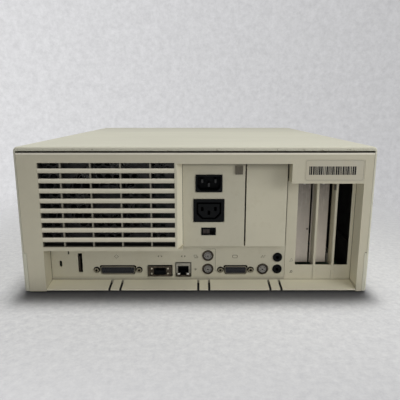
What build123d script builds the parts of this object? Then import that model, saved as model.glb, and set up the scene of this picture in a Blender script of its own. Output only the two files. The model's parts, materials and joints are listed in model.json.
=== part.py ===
from build123d import *
import os
from math import cos, radians, sin, tan

# Desktop computer case with its works. Millimetres. +Z is up, the port side faces -Y,
# the front bezel faces +Y, and the origin is at the middle of the footprint.

# ---- Case -------------------------------------------------------------------------
case_width = 365.0
case_depth = 430.0
case_height = 156.0
cover_wall = 2.5
fit_gap = 0.3
edge_radius = 5.0
front_corner_radius = 14.0
bezel_depth = 25.0
bezel_wall = 3.0
cover_floor_gap = 2.5
waist_height = 44.8
waist_step = 2.5

right_side = case_width / 2
rear = -case_depth / 2
front = case_depth / 2
cover_inside = right_side - cover_wall
frame_side = cover_inside - fit_gap
pan_side = frame_side - waist_step
cover_front = front - bezel_depth
lid_underside = case_height - cover_wall

# ---- Base pan ---------------------------------------------------------------------
foot_height = 3.0
foot_radius = 9.0
foot_inset = 28.0
pan_floor = 2.5
pan_wall = 2.5
floor_top = foot_height + pan_floor
recess_depth = 20.0
panel_plane = rear + recess_depth
ledge_front_height = 1.2
ledge_rise = 3.0
ledge_front_top = foot_height + ledge_front_height
ledge_back_top = ledge_front_top + ledge_rise
slit_width = 2.4
slit_pitch = 11.8
slit_centres = (-86.3, 8.7, 86.0)
pan_front = front - 30.0
pan_front_height = 35.0
pan_top = waist_height - 0.8

# ---- Rear frame -------------------------------------------------------------------
frame_skin = 2.8
lip_height = 1.7
lip_gap = 1.4
lip_underside = lid_underside - lip_height
frame_top = lip_underside - lip_gap
frame_foot = 2.0
lining = 2.5
side_return = 25.0
left_column = 17.8
right_column = 6.0
bay_width = 73.3
top_bar = 11.7
label_bar = 31.7
column_inside = pan_side - left_column
bay_right = pan_side - right_column
window_right = bay_right - bay_width
window_top = frame_top - top_bar
bay_top = frame_top - label_bar
grille_right = -21.1
bevel_front = -18.8
bevel_edge = 0.8
window_left = -13.8
port_ceiling = 47.0
label_x = (bay_right - 60.9, bay_right - 0.4)
label_z = (bay_top + 2.5, frame_top - 7.4)
label_corner = 2.0
label_pocket = 0.4
block_draft = 1.3
label_sunk = 0.1

# ---- Vent grille ------------------------------------------------------------------
slot_count = 9
grille_bar = 4.7
grille_low = port_ceiling + 4.3
grille_high = frame_top - 10.65
slot_opening = (grille_high - grille_low - (slot_count - 1) * grille_bar) / slot_count
grille_rib = 1.6
grille_wall = 1.5
grille_depth = 11.0
grille_rib_count = 4
grille_rib_first = 22.4
grille_rib_last = 24.6
grille_rim = 3.5
grille_rim_skin = 2.0

# ---- Rear panels ------------------------------------------------------------------
sheet = 1.5
panel_recess = 15.0
window_plane = rear + panel_recess
psu_seam = 52.9
panel_seam = 1.5
blank_gap = 1.3
panel_flange = 5.0

# ---- Expansion bay ----------------------------------------------------------------
slot_pitch = 20.32
bay_rib_x = bay_right - 40.6
bay_rib = 2.6
bay_rib_proud = 0.6
bay_rib_back = 13.7
bay_slots = 3
bay_first_edge = bay_right - 61.6
bay_last_edge = bay_right - 3.9
bay_sill = 24.3
bay_head = bay_top - 3.2
bay_shelf = 2.5
slot_cover_width = 18.4
slot_cover_sheet = 1.0
slot_cover_tab = 11.0
slot_cover_foot = bay_sill - 2.0

# ---- Ports ------------------------------------------------------------------------
port_row = 18.5
round_row = 19.4
serial_upper_row = 34.8
audio_upper_row = 33.0
port_clearance = 0.8
panel_back = panel_plane + sheet + fit_gap
board_stand = 3.5
board_sheet = 1.6
board_low = floor_top + board_stand
board_top = board_low + board_sheet
dsub_height = 8.4
dsub_proud = 1.2
dsub_clearance = 1.2
dsub_wall = 0.6
dsub_slope = 10.0
dsub_flange_height = 12.5
dsub_flange_sheet = 0.8
contact_pitch = 2.76
contact_row = 1.42
contact_radius = 0.6
scsi_width = 38.9
scsi_screws = 47.04
scsi_contacts = 13
video_width = 25.2
video_screws = 33.32
video_contacts = 8
screw_margin = 3.0
hex_across = 5.0
hex_length = 3.6
jack_hole_radius = 3.7
jack_thread_radius = 1.42
jack_shank_radius = 1.4
aaui_width = 26.0
aaui_height = 12.0
aaui_z = 17.3
aaui_face = panel_plane - 1.0
aaui_mouth_width = 13.4
aaui_mouth_height = 8.4
aaui_slot_width = 9.6
aaui_slot_height = 2.8
aaui_post_radius = 0.9
shield_sheet = 0.5
rj45_width = 16.0
rj45_height = 15.6
rj45_face = panel_plane - 0.5
rj45_wall = 0.7
rj45_mouth_width = 11.8
rj45_mouth_height = 8.0
rj45_key_width = 5.8
rj45_key_height = 2.8
rj45_middle = board_top + fit_gap + rj45_height / 2
rj45_mouth_low = rj45_middle - rj45_height / 2 + 4.4
rj45_key_low = rj45_mouth_low - rj45_key_height
din_radius = 6.5
din_shell_radius = 5.9
din_bore = 4.9
din_core_radius = 4.1
din_contact_ring = 2.7
din_proud = 1.2
audio_radius = 5.0
audio_bore_radius = 1.8
audio_bore_depth = 13.0
port_depth = 14.0
lock_slot_width = 3.0
lock_slot_height = 7.0
lock_slot_z = 25.6
tab_slot_width = 4.7
tab_slot_low = 15.6
tab_slot_high = 37.6


def row_middles(start, end, widths, gaps):
    """Middle of each item in a row. The gaps share out what the items leave free."""
    share = (end - start - sum(widths)) / sum(gaps)
    middles = []
    for width, gap in zip(widths, gaps):
        start += gap * share
        middles.append(start + width / 2)
        start += width
    return middles


# From left to right: two security slots, wide D port, network pair, serial, video, keyboard, sound.
scsi_flange = scsi_screws + 2 * screw_margin
video_flange = video_screws + 2 * screw_margin
port_sizes = (
    lock_slot_width,
    tab_slot_width,
    scsi_flange,
    aaui_width + 2 * port_clearance,
    rj45_width + 2 * port_clearance,
    2 * din_radius,
    video_flange,
    2 * din_radius,
    2 * audio_radius,
)
port_gaps = (9.1, 17.75, 12.33, 6.18, 3.2, 11.8, 4.44, 3.74, 4.6, 2.9)
port_middles = row_middles(-column_inside, window_right, port_sizes, port_gaps)
lock_slot_x, tab_slot_x, scsi_x, aaui_x, rj45_x = port_middles[:5]
serial_x, video_x, keyboard_x, audio_x = port_middles[5:]

# ---- Power supply -----------------------------------------------------------------
psu_left = -pan_side + 9.2
psu_right = 52.0
psu_low = port_ceiling + lining + fit_gap
psu_high = lid_underside - 7.5
psu_depth = 140.0
psu_front = window_plane + psu_depth
psu_sheet = 1.2
screen_sheet = 0.8
screen_pitch = 9.4
screen_hole_radius = 4.1
inlet_x = 14.1
inlet_width = 27.7
inlet_height = 18.2
inlet_wall = 1.5
inlet_depth = 18.0
inlet_proud = 1.2
blade_width = 2.0
blade_height = 4.0
blade_pitch = 7.0
blade_offset = 2.0
blade_recess = 4.0
plug_corner = 3.5
outlet_width = 32.3
outlet_height = 24.6
outlet_core_width = 22.4
outlet_core_height = 14.6
outlet_moat = 1.9
outlet_corner = 5.0
selector_x = 13.9
selector_width = 15.1
selector_height = 7.9
selector_travel = 5.0
clip_width = 8.0
clip_height = 9.0
clip_proud = 2.0
clip_groove = 0.9
clip_x = psu_seam - 7.5
clip_z = window_top - 8.2
power_sizes = (selector_height, outlet_height, inlet_height)
power_gaps = (13.05, 6.75, 7.8, 13.4)
power_middles = row_middles(port_ceiling, window_top, power_sizes, power_gaps)
selector_z, outlet_z, inlet_z = power_middles

# ---- Fan --------------------------------------------------------------------------
fan_x = -92.0
fan_headroom = 1.8
fan_size = psu_high - psu_low - 2 * psu_sheet - fan_headroom
fan_z = psu_low + psu_sheet + fan_size / 2
fan_depth = 25.0
fan_bore = fan_size / 2 - 2.5
fan_hub = 18.0
fan_blades = 7
fan_pin = 2.0
running_gap = 0.05

# ---- Carriage and drives ----------------------------------------------------------
carriage_low = waist_height - 0.5
carriage_sheet = 2.5
carriage_top = carriage_low + carriage_sheet
carriage_front = pan_front - 7.0
bay_wall = 2.2
drive_gap = 0.3
floppy_width = 101.6
floppy_x = -cover_inside + 16.0 + floppy_width / 2
drive_spacing = 7.4
cd_width = 146.0
cd_x = floppy_x + floppy_width / 2 + drive_spacing + cd_width / 2
cd_right = cd_x + cd_width / 2
cd_height = 41.3
cd_low = lid_underside - 12.2 - cd_height
cd_depth = 187.0
cd_case_front = front - 18.0
cd_back = cd_case_front - cd_depth
cd_sheet = 1.0
fascia_width = 148.0
fascia_height = 41.5
fascia_front = front - 2.0
fascia_wall = 2.5
tray_width = 130.0
tray_height = 5.0
tray_length = 140.0
tray_door_height = 13.0
tray_low = cd_low + 20.0
disc_radius = 60.5
eject_x = cd_x + 56.0
eject_z = cd_low + 10.0
floppy_height = 25.4
floppy_low = lid_underside - 12.1 - floppy_height
floppy_depth = 144.0
floppy_front = front - 11.0
floppy_back = floppy_front - floppy_depth
floppy_slot_width = 92.0
floppy_slot_height = 4.6
floppy_slot_z = floppy_low + 15.0
floppy_slot_depth = 98.0
hard_drive_low = carriage_top + 5.2
hard_drive_length = 147.0
hard_drive_front = pan_front + 2.0
hard_drive_back = hard_drive_front - hard_drive_length

# ---- Front controls ---------------------------------------------------------------
power_x = cover_inside - 40.0
power_z = 42.0
power_radius = 8.0
button_travel = 2.5
switch_tip = 4.2
small_button_radius = 2.2
reset_x = power_x - 22.0
interrupt_x = power_x - 32.0
light_x = power_x + 21.0
button_clearance = 0.25
collar_width = 2.0
collar_depth = 2.0
switch_board_plane = pan_front + 5.0
switch_board_margin = 7.0
speaker_left_gap = 13.0
speaker_right_gap = 10.0
speaker_radius = (cover_inside - cd_right - speaker_left_gap - speaker_right_gap) / 2
speaker_x = cd_right + speaker_left_gap + speaker_radius
speaker_z = lid_underside - 51.5
speaker_neck = 0.62 * speaker_radius
speaker_magnet = 0.5 * speaker_radius
latch_x = power_x - 28.0
latch_width = 28.0
latch_travel = 3.0
hook_low = 12.0
hook_high = 14.0
hook_tip = pan_front + 1.0
keeper_reach = 4.5
keeper_sheet = 1.5
keeper_width = latch_width + 6.0
keeper_height = 13.0
keeper_foot = 4.5
keeper_pin = 1.2
keeper_z = (hook_low + hook_high + latch_travel) / 2

# ---- Logic board ------------------------------------------------------------------
board_left = -pan_side + 9.2
board_right = pan_side - 7.2
board_rear = panel_plane + 3.0
board_boss_radius = 3.5
board_screw_radius = 1.4
board_screw_inset = 8.0
ribbon_x = 0.0
ribbon_y = (psu_front + cd_back) / 2 - 11.0
ribbon_width = 63.5
ribbon_sheet = 0.9
ribbon_plug = 9.0
ribbon_bend = 12.0
board_front = ribbon_y + 81.0
card_socket_rear = panel_plane + 45.0
card_socket_front = panel_plane + 130.0
card_socket_width = 7.5
card_socket_height = 11.5
chip_height = 3.2
module_x = -10.0
module_first = ribbon_y + 16.0
module_pitch = 9.5
module_count = 4
module_sockets = 6
module_length = 133.4
module_sheet = 1.27
module_low = board_top + 3.0
module_high = board_top + 29.0
module_socket_length = 142.0
module_socket_width = 7.0
module_socket_height = 9.0
processor_x = -25.0
processor_y = board_rear + 107.0
processor_length = 130.0
processor_sheet = 1.6
processor_socket_width = 8.0
heatsink_width = 50.0
heatsink_height = 22.0
heatsink_reach = 16.0
heatsink_fins = 9
battery_x = board_left + 33.0
battery_y = board_front - 65.0
battery_radius = 7.0
battery_length = 24.6
holder_length = 30.0
holder_width = 19.0
holder_wall = 1.5
holder_height = 12.0


def span(middle, length):
    """Low and high value of a length about its middle."""
    return (middle - length / 2, middle + length / 2)


def block(x, y, z):
    """A box from the low and high values along each axis."""
    place = Pos((x[0] + x[1]) / 2, (y[0] + y[1]) / 2, (z[0] + z[1]) / 2)
    return place * Box(x[1] - x[0], y[1] - y[0], z[1] - z[0])


def rod_y(x, z, radius, y):
    """A round bar along Y."""
    return Pos(x, (y[0] + y[1]) / 2, z) * Rot(90, 0, 0) * Cylinder(radius, y[1] - y[0])


def rod_z(x, y, radius, z):
    """A round bar along Z."""
    return Pos(x, y, (z[0] + z[1]) / 2) * Cylinder(radius, z[1] - z[0])


def prism_y(outline, y):
    """A prism along Y from points in the XZ plane."""
    face = Plane.XZ * make_face(Polyline(*outline, close=True))
    return Pos(0, y[1], 0) * extrude(face, y[1] - y[0])


def prism_x(outline, x):
    """A prism along X from points in the YZ plane."""
    face = Plane.YZ * make_face(Polyline(*outline, close=True))
    return Pos(x[0], 0, 0) * extrude(face, x[1] - x[0])


def rounded_y(x, z, y, radius):
    """A rounded bar along Y with a rectangular section."""
    face = Plane.XZ * RectangleRounded(x[1] - x[0], z[1] - z[0], radius)
    place = Pos((x[0] + x[1]) / 2, y[1], (z[0] + z[1]) / 2)
    return place * extrude(face, y[1] - y[0])


def d_shape(x, z, width, height, y, radius=2.2):
    """A bar along Y with the tapered section of a D-sub connector."""
    taper = height * tan(radians(dsub_slope))
    high = z + height / 2
    low = z - height / 2
    outline = [
        (x - width / 2, high),
        (x + width / 2, high),
        (x + width / 2 - taper, low),
        (x - width / 2 + taper, low),
    ]
    face = make_face(Polyline(*outline, close=True))
    face = Plane.XZ * fillet(face.vertices(), radius)
    return Pos(0, y[1], 0) * extrude(face, y[1] - y[0])


def hexagon_y(x, z, across, y):
    """A hexagonal bar along Y."""
    face = Plane.XZ * RegularPolygon(across / 2, 6, major_radius=False)
    return Pos(x, y[1], z) * extrude(face, y[1] - y[0])


def save(name, *solids):
    """Write one node, from one solid or a group of separate ones."""
    shape = solids[0] if len(solids) == 1 else Compound(children=list(solids))
    export_step(shape, f"parts/{name}.step")


# ---- Case -------------------------------------------------------------------------


def foot_places():
    """Middles of the feet, and of the bosses above them."""
    x = pan_side - foot_inset
    y = pan_front - foot_inset
    return [(-x, -y), (x, -y), (-x, y), (x, y)]


def board_screw_places():
    """Middles of the bosses that carry the logic board."""
    left = board_left + board_screw_inset
    right = board_right - board_screw_inset
    middle = (left + right) / 2
    rows = (board_rear + 22, card_socket_front + 15, board_front - 6)
    return [(x, y) for y in rows for x in (left, middle, right)]


def make_base_pan():
    """Tray with side walls, the sloped ledge under the ports and bosses for the board."""
    inner = pan_side - pan_wall
    pan = block((-pan_side, pan_side), (panel_plane, pan_front), (foot_height, floor_top))
    for side in (-1, 1):
        x = sorted((side * inner, side * pan_side))
        pan += block(x, (panel_plane, pan_front), (foot_height, pan_top))
    wall_y = (pan_front - pan_wall, pan_front)
    pan += block((-pan_side, pan_side), wall_y, (foot_height, pan_front_height))
    tower_x = (interrupt_x - switch_board_margin, speaker_x + speaker_radius + 3)
    tower_z = (foot_height, speaker_z + speaker_radius + 5)
    pan += block(tower_x, wall_y, tower_z)
    pan -= rod_y(speaker_x, speaker_z, speaker_neck + 0.5, (wall_y[0] - 1, wall_y[1] + 1))
    ledge = [
        (rear, foot_height),
        (rear, ledge_front_top),
        (panel_plane, ledge_back_top),
        (panel_plane + lining, ledge_back_top),
        (panel_plane + lining, foot_height),
    ]
    pan += prism_x(ledge, (-column_inside + fit_gap, bay_right - fit_gap))
    for centre in slit_centres:
        for x in span(centre, slit_pitch):
            slit_y = (rear - 1, panel_plane - fit_gap)
            pan -= block(span(x, slit_width), slit_y, (0, floor_top + ledge_rise))
    for x, y in board_screw_places():
        pan += rod_z(x, y, board_boss_radius, (floor_top - 1, board_low))
        pan -= rod_z(x, y, board_screw_radius + running_gap, (floor_top, board_low + 1))
    for x in keeper_pin_places():
        pan -= rod_y(x, keeper_z, keeper_pin + running_gap, (wall_y[0] - 1, wall_y[1] + 1))
    for x in (cd_right - 3, -60):
        for y in (carriage_front - 10, board_front + 15):
            pan += rod_z(x, y, 4.0, (floor_top - 1, carriage_low - fit_gap))
    return pan


def make_feet():
    """Four round rubber feet under the pan."""
    feet = []
    for x, y in foot_places():
        foot = rod_z(x, y, foot_radius, (0, foot_height))
        feet.append(chamfer(foot.faces().sort_by(Axis.Z)[0].edges(), 0.8))
    return feet


def make_rear_frame():
    """Rear surround: two columns, a top bar, the label block and their linings."""
    high = frame_top
    outline = [
        (-frame_side, high),
        (frame_side, high),
        (frame_side, waist_height),
        (pan_side, waist_height),
        (pan_side, frame_foot),
        (bay_right, frame_foot),
        (bay_right, bay_top),
        (window_right, bay_top),
        (window_right, window_top),
        (grille_right, window_top),
        (grille_right, port_ceiling),
        (-column_inside, port_ceiling),
        (-column_inside, frame_foot),
        (-pan_side, frame_foot),
        (-pan_side, waist_height),
        (-frame_side, waist_height),
    ]
    skin = (rear, rear + frame_skin)
    frame = prism_y(outline, skin)
    frame -= block((-column_inside, grille_right), (rear - 1, rear + 5), (grille_low, grille_high))
    draft = [(window_right, rear), (window_right + block_draft, rear), (window_right, rear + frame_skin)]
    wedge = make_face(Polyline(*draft, close=True))
    frame -= Pos(0, 0, bay_top - 1) * extrude(wedge, window_top - bay_top + 1)
    deep = (rear, panel_plane - fit_gap)
    shallow = (rear, window_plane + sheet)
    bar = [
        (grille_right, rear),
        (bevel_front, rear),
        (window_left, window_plane - fit_gap),
        (window_left - lining, window_plane - fit_gap),
        (bevel_front - bevel_edge, rear + frame_skin),
        (grille_right, rear + frame_skin),
    ]
    face = make_face(Polyline(*bar, close=True))
    frame += Pos(0, 0, port_ceiling) * extrude(face, window_top - port_ceiling + lining)
    frame += block((-column_inside - lining, -column_inside), deep, (frame_foot, port_ceiling + lining))
    frame += block((-column_inside, window_left), deep, (port_ceiling, port_ceiling + lining))
    frame += block((window_left - lining, window_right), shallow, (window_top, window_top + lining))
    frame += block((window_right, window_right + lining), shallow, (bay_top, window_top + lining))
    frame += block((window_right, bay_right + lining), deep, (bay_top, bay_top + lining))
    frame += block((bay_right, bay_right + lining), deep, (frame_foot, bay_top + lining))
    for side in (-1, 1):
        x = sorted((side * (frame_side - lining), side * frame_side))
        frame += block(x, (rear, rear + side_return), (waist_height, high))
        x = sorted((side * (pan_side - lining), side * pan_side))
        frame += block(x, deep, (frame_foot, waist_height + lining))
        x = sorted((side * (pan_side - lining), side * frame_side))
        frame += block(x, deep, (waist_height, waist_height + lining))
    frame += block((-frame_side, frame_side), (rear, rear + side_return), (high - lining, high))
    margin = 0.2
    pocket_x = (label_x[0] - margin, label_x[1] + margin)
    pocket_z = (label_z[0] - margin, label_z[1] + margin)
    return frame - rounded_y(pocket_x, pocket_z, (rear - 1, rear + label_pocket), label_corner)


def grille_rib_places():
    """X of each upright rib of the grille."""
    first = -column_inside + grille_rib_first
    last = grille_right - grille_rib_last
    step = (last - first) / (grille_rib_count - 1)
    return [first + number * step for number in range(grille_rib_count)]


def make_vent_grille():
    """Bars and ribs that fill the left window, with a rim behind the surround."""
    x = (-column_inside, grille_right)
    y = (rear, rear + frame_skin)
    rim_y = (rear + frame_skin, rear + frame_skin + grille_rim_skin)
    rim_low = grille_low - 0.5
    rim_x = (x[0] - grille_rim, bevel_front - bevel_edge - fit_gap)
    rim = block(rim_x, rim_y, (rim_low, grille_high + grille_rim))
    grille = rim - block(x, (rim_y[0] - 1, rim_y[1] + 1), (grille_low, grille_high))
    step = slot_opening + grille_bar
    for number in range(1, slot_count):
        low = grille_low + number * step - grille_bar
        bar_x = (x[0] + 0.1, x[1] - 0.1)
        grille += block(bar_x, y, (low, low + grille_bar))
        grille += block((x[0] - 1, x[0] + 1), rim_y, (low, low + grille_bar))
        grille += block((x[1] - 1, x[1] + 0.5), rim_y, (low, low + grille_bar))
    back = y[1] + grille_depth
    wall_y = (rim_y[0], back)
    wall_z = (rim_low, grille_high + grille_wall)
    for rib_x in grille_rib_places():
        rib = span(rib_x, grille_rib)
        grille += block(rib, (y[1] - 0.8, back), (grille_low, grille_high))
        grille += block(rib, wall_y, wall_z)
    grille += block((x[0] - grille_wall, x[0]), wall_y, wall_z)
    grille += block((x[1], rim_x[1]), wall_y, wall_z)
    grille += block((x[0] - grille_wall, rim_x[1]), wall_y, (grille_high, wall_z[1]))
    return grille


def make_port_panel():
    """Recessed plate with a hole for each port."""
    width = (-column_inside + fit_gap, window_right)
    y = (panel_plane, panel_plane + sheet)
    through = (y[0] - 1, y[1] + 1)
    panel = block(width, y, (ledge_back_top + fit_gap, port_ceiling - fit_gap))
    for centre, width in ((scsi_x, scsi_width), (video_x, video_width)):
        gap = 2 * dsub_clearance
        panel -= d_shape(centre, port_row, width + gap, dsub_height + gap, through)
    for screw_x in jackscrew_places():
        panel -= rod_y(screw_x, port_row, jack_hole_radius, through)
    gap = 2 * port_clearance
    for x, z, width, height in (
        (aaui_x, aaui_z, aaui_width, aaui_height),
        (rj45_x, rj45_middle, rj45_width, rj45_height),
    ):
        panel -= block(span(x, width + gap), through, span(z, height + gap))
    for hole_x, hole_z in din_places():
        panel -= rod_y(hole_x, hole_z, din_shell_radius + port_clearance / 2, through)
    for hole_z in audio_places():
        panel -= rod_y(audio_x, hole_z, audio_radius + fit_gap, through)
    lock_x = span(lock_slot_x, lock_slot_width)
    panel -= rounded_y(lock_x, span(lock_slot_z, lock_slot_height), through, 1.4)
    panel -= block(span(tab_slot_x, tab_slot_width), through, (tab_slot_low, tab_slot_high))
    return panel


def make_window_panel(x, holes):
    """Plate behind the right window, with a flange along its foot."""
    y = (window_plane, window_plane + sheet)
    panel = block(x, y, (port_ceiling, window_top - fit_gap))
    panel += block(x, (y[0], y[0] + panel_flange), (port_ceiling, port_ceiling + sheet))
    for hole_x, hole_z, width, height in holes:
        size = (span(hole_x, width + 2 * fit_gap), span(hole_z, height + 2 * fit_gap))
        panel -= block(size[0], (y[0] - 1, y[1] + 1), size[1])
    return panel


def psu_holes():
    """Middle and size of each hole in the power supply's rear plates."""
    return [
        (inlet_x, inlet_z, inlet_width, inlet_height),
        (inlet_x, outlet_z, outlet_width, outlet_height),
        (selector_x, selector_z, selector_width, selector_height),
    ]


def bay_openings():
    """Left and right edge of each expansion slot."""
    edges = [bay_first_edge]
    for number in range(bay_slots - 1):
        middle = bay_rib_x + number * slot_pitch
        edges += [middle - bay_rib / 2, middle + bay_rib / 2]
    edges.append(bay_last_edge)
    return list(zip(edges[0::2], edges[1::2]))


def make_expansion_frame():
    """Plate with the tall card slots, deep ribs between them and a shelf above."""
    x = (window_right + fit_gap, bay_right - fit_gap)
    y = (panel_plane, panel_plane + sheet)
    low = ledge_back_top + fit_gap
    plate = block(x, y, (low, bay_head + bay_shelf))
    for slot_x in bay_openings():
        plate -= block(slot_x, (y[0] - 1, y[1] + 1), (bay_sill, bay_head))
    rib_y = (y[0] - bay_rib_proud, y[0] + bay_rib_back - fit_gap)
    for number in range(bay_slots - 1):
        middle = bay_rib_x + number * slot_pitch
        plate += block(span(middle, bay_rib), rib_y, (bay_sill - 2, bay_head + 1))
        foot_y = (y[0] - bay_rib_proud, y[1])
        plate += block(span(middle, bay_rib), foot_y, (low, bay_sill))
    plate += block(x, (y[0], rib_y[1]), (bay_head, bay_head + bay_shelf))
    for centre in slot_cover_centres(bay_slots):
        plate -= rod_z(centre, panel_plane + 6, 1.5, (bay_head - 1, bay_head + bay_shelf + 1))
    return plate


def slot_cover_centres(count):
    """Middle of each card bracket."""
    first = bay_rib_x - bay_rib / 2 - slot_cover_width / 2 - 2.9
    return [first + number * slot_pitch for number in range(count)]


def make_slot_covers():
    """Two blanking brackets, each with a tab that rests on the shelf."""
    back = panel_plane + bay_rib_back + slot_cover_sheet
    tab_low = bay_head + bay_shelf + fit_gap
    tab_high = tab_low + slot_cover_sheet
    covers = []
    for centre in slot_cover_centres(bay_slots - 1):
        x = span(centre, slot_cover_width)
        cover = block(x, (back - slot_cover_sheet, back), (slot_cover_foot, tab_high))
        cover += block(x, (back - slot_cover_tab, back), (tab_low, tab_high))
        covers.append(cover - rod_z(centre, panel_plane + 6, 1.6, (tab_low - 1, tab_high + 1)))
    return covers


def make_slot_screws():
    """Screws that hold the two fitted slot covers to the shelf."""
    screws = []
    for centre in slot_cover_centres(bay_slots - 1):
        seat = bay_head + bay_shelf + fit_gap + slot_cover_sheet
        screw = rod_z(centre, panel_plane + 6, 3.2, (seat, seat + 2))
        screw += rod_z(centre, panel_plane + 6, 1.4, (bay_head - 2, seat + 0.5))
        screws.append(screw)
    return screws


def make_label():
    """Plain label lying in its shallow pocket above the expansion bay."""
    return rounded_y(label_x, label_z, (rear + label_sunk, rear + label_pocket), label_corner)


def make_top_cover():
    """Lid and sides in one shell, with a lip over the rear surround."""
    y = (rear, cover_front - fit_gap)
    low = cover_floor_gap
    outer = make_face(Polyline(
        (-right_side, low),
        (right_side, low),
        (right_side, case_height),
        (-right_side, case_height),
        close=True,
    ))
    outer = fillet(outer.vertices().group_by(Axis.Y)[-1], edge_radius)
    cover = Pos(0, y[1], 0) * extrude(Plane.XZ * outer, y[1] - y[0])
    rim = cover.faces().sort_by(Axis.Y)[0].edges().sort_by(Axis.Z)[-1]
    cover = fillet(rim, cover_wall)
    waist = pan_side + fit_gap
    inner = [
        (-waist, low - 1),
        (waist, low - 1),
        (waist, waist_height - fit_gap),
        (cover_inside, waist_height - fit_gap),
        (cover_inside, lid_underside),
        (-cover_inside, lid_underside),
        (-cover_inside, waist_height - fit_gap),
        (-waist, waist_height - fit_gap),
    ]
    cover -= prism_y(inner, (y[0] - 1, y[1] + 1))
    lip_z = (lip_underside, lid_underside + 0.5)
    cover += block((-cover_inside, cover_inside), (rear, rear + cover_wall), lip_z)
    for x in (-100, 0, 100):
        rail_z = (frame_top + fit_gap, lid_underside + 0.5)
        cover += block(span(x, 3), (rear + side_return - 10, y[1] - 4), rail_z)
    return cover


def bezel_shell(inset, front_inset, z, radius):
    """Solid with rounded front corners, for the bezel's outside and its hollow."""
    x = right_side - inset
    plan = make_face(Polyline(
        (-x, cover_front),
        (x, cover_front),
        (x, front - front_inset),
        (-x, front - front_inset),
        close=True,
    ))
    plan = fillet(plan.vertices().group_by(Axis.Y)[-1], front_corner_radius - inset)
    body = Pos(0, 0, z[0]) * extrude(plan, z[1] - z[0])
    rim = body.faces().sort_by(Axis.Z)[-1].edges()
    rim = [edge for edge in rim if edge.center().Y > cover_front + 0.01]
    return fillet(rim, radius)


def make_front_bezel():
    """Front moulding with windows for the drives, holes for the controls and vents."""
    outer = bezel_shell(0, 0, (cover_floor_gap, case_height), edge_radius)
    hollow_z = (cover_floor_gap + cover_wall, lid_underside)
    bezel = outer - bezel_shell(cover_wall, bezel_wall, hollow_z, edge_radius - cover_wall)
    through = (front - bezel_wall - 2, front + 1)
    cd_middle = cd_low + cd_height / 2
    bezel -= rounded_y(span(cd_x, fascia_width + 1), span(cd_middle, fascia_height + 1), through, 2)
    recess = (front - bezel_wall + 1.2, front + 1)
    bezel -= rounded_y(span(floppy_x, 40), span(floppy_slot_z, 15), recess, 4)
    slot_x = span(floppy_x, floppy_slot_width + 3)
    bezel -= rounded_y(slot_x, span(floppy_slot_z, floppy_slot_height + 1), through, 2)
    bezel -= rod_y(power_x, power_z, power_radius + button_clearance, through)
    for x in (reset_x, interrupt_x):
        bezel -= rod_y(x, power_z, small_button_radius + button_clearance, through)
    bezel -= block(span(light_x, 8.6), through, span(power_z, 2.6))
    for row in range(9):
        z = speaker_z + (row - 4) * 6
        bezel -= rounded_y(span(speaker_x, 1.5 * speaker_radius), span(z, 2.4), through, 1.1)
    for row in range(4):
        z = 12 + row * 7
        bezel -= rounded_y((17.5 - right_side, interrupt_x - 18), span(z, 3), recess, 1.4)
    for side in (-1, 1):
        window = span(side * latch_x, latch_width + 1)
        bezel -= block(window, (cover_front + 4, front - 6), (0, cover_floor_gap + cover_wall + 1))
    return bezel


def make_latch(side):
    """Press-up catch under the front edge, with a tongue that enters its keeper."""
    x = side * latch_x
    low = cover_floor_gap + 0.3
    tab_y = (cover_front + 4.5, front - 6.5)
    latch = block(span(x, latch_width), tab_y, (low, low + cover_wall))
    arm_y = (cover_front + 4.5, cover_front + 7)
    latch += block(span(x, latch_width - 4), arm_y, (low, hook_high))
    hook_y = (hook_tip, arm_y[1])
    latch += block(span(x, latch_width - 10), hook_y, (hook_low, hook_high))
    return latch


def keeper_pin_places():
    """X of each rivet of the two keepers."""
    reach = keeper_width - keeper_foot
    return [*span(-latch_x, reach), *span(latch_x, reach)]


def make_keeper(side):
    """Steel bridge on the pan's wall, with a slot for the tongue of a cover catch."""
    x = side * latch_x
    y = (pan_front + keeper_reach - keeper_sheet, pan_front + keeper_reach)
    z = span(keeper_z, keeper_height)
    keeper = block(span(x, keeper_width), y, z)
    slot_z = (hook_low - 1.5, hook_high + latch_travel + 1.5)
    keeper -= block(span(x, latch_width - 8), (y[0] - 1, y[1] + 1), slot_z)
    for foot_x in span(x, keeper_width - keeper_foot):
        keeper += block(span(foot_x, keeper_foot), (pan_front + fit_gap, y[1]), z)
        keeper += rod_y(foot_x, keeper_z, keeper_pin, (pan_front - pan_wall + 0.5, y[1] - 0.5))
    return keeper


def make_button(x, radius, tip):
    """Round button with a collar behind the bezel and a stem towards its switch."""
    inside = front - bezel_wall - fit_gap
    button = rod_y(x, power_z, radius, (inside - 1, tip))
    button += rod_y(x, power_z, radius + collar_width, (inside - collar_depth, inside))
    switch_face = switch_board_plane + board_sheet + switch_tip
    stem_tip = switch_face + button_travel + fit_gap
    return button + rod_y(x, power_z, 1.5, (stem_tip, inside - 1))


def make_light_lens():
    """Clear bar that carries the light of the power lamp to the front."""
    inside = front - bezel_wall - fit_gap
    lens = block(span(light_x, 8.0), (inside - 1, front - 0.4), span(power_z, 2.0))
    return lens + block(span(light_x, 11), (inside - 3, inside), span(power_z, 5))


# ---- Ports ------------------------------------------------------------------------


def jackscrew_places():
    """X of each jackscrew beside the two D-sub ports."""
    return [*span(scsi_x, scsi_screws), *span(video_x, video_screws)]


def din_places():
    """Middle of each round mini-DIN port: two serial and one keyboard."""
    return [(serial_x, serial_upper_row), (serial_x, round_row), (keyboard_x, round_row)]


def audio_places():
    """Height of each sound socket."""
    return [round_row, audio_upper_row]


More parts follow.
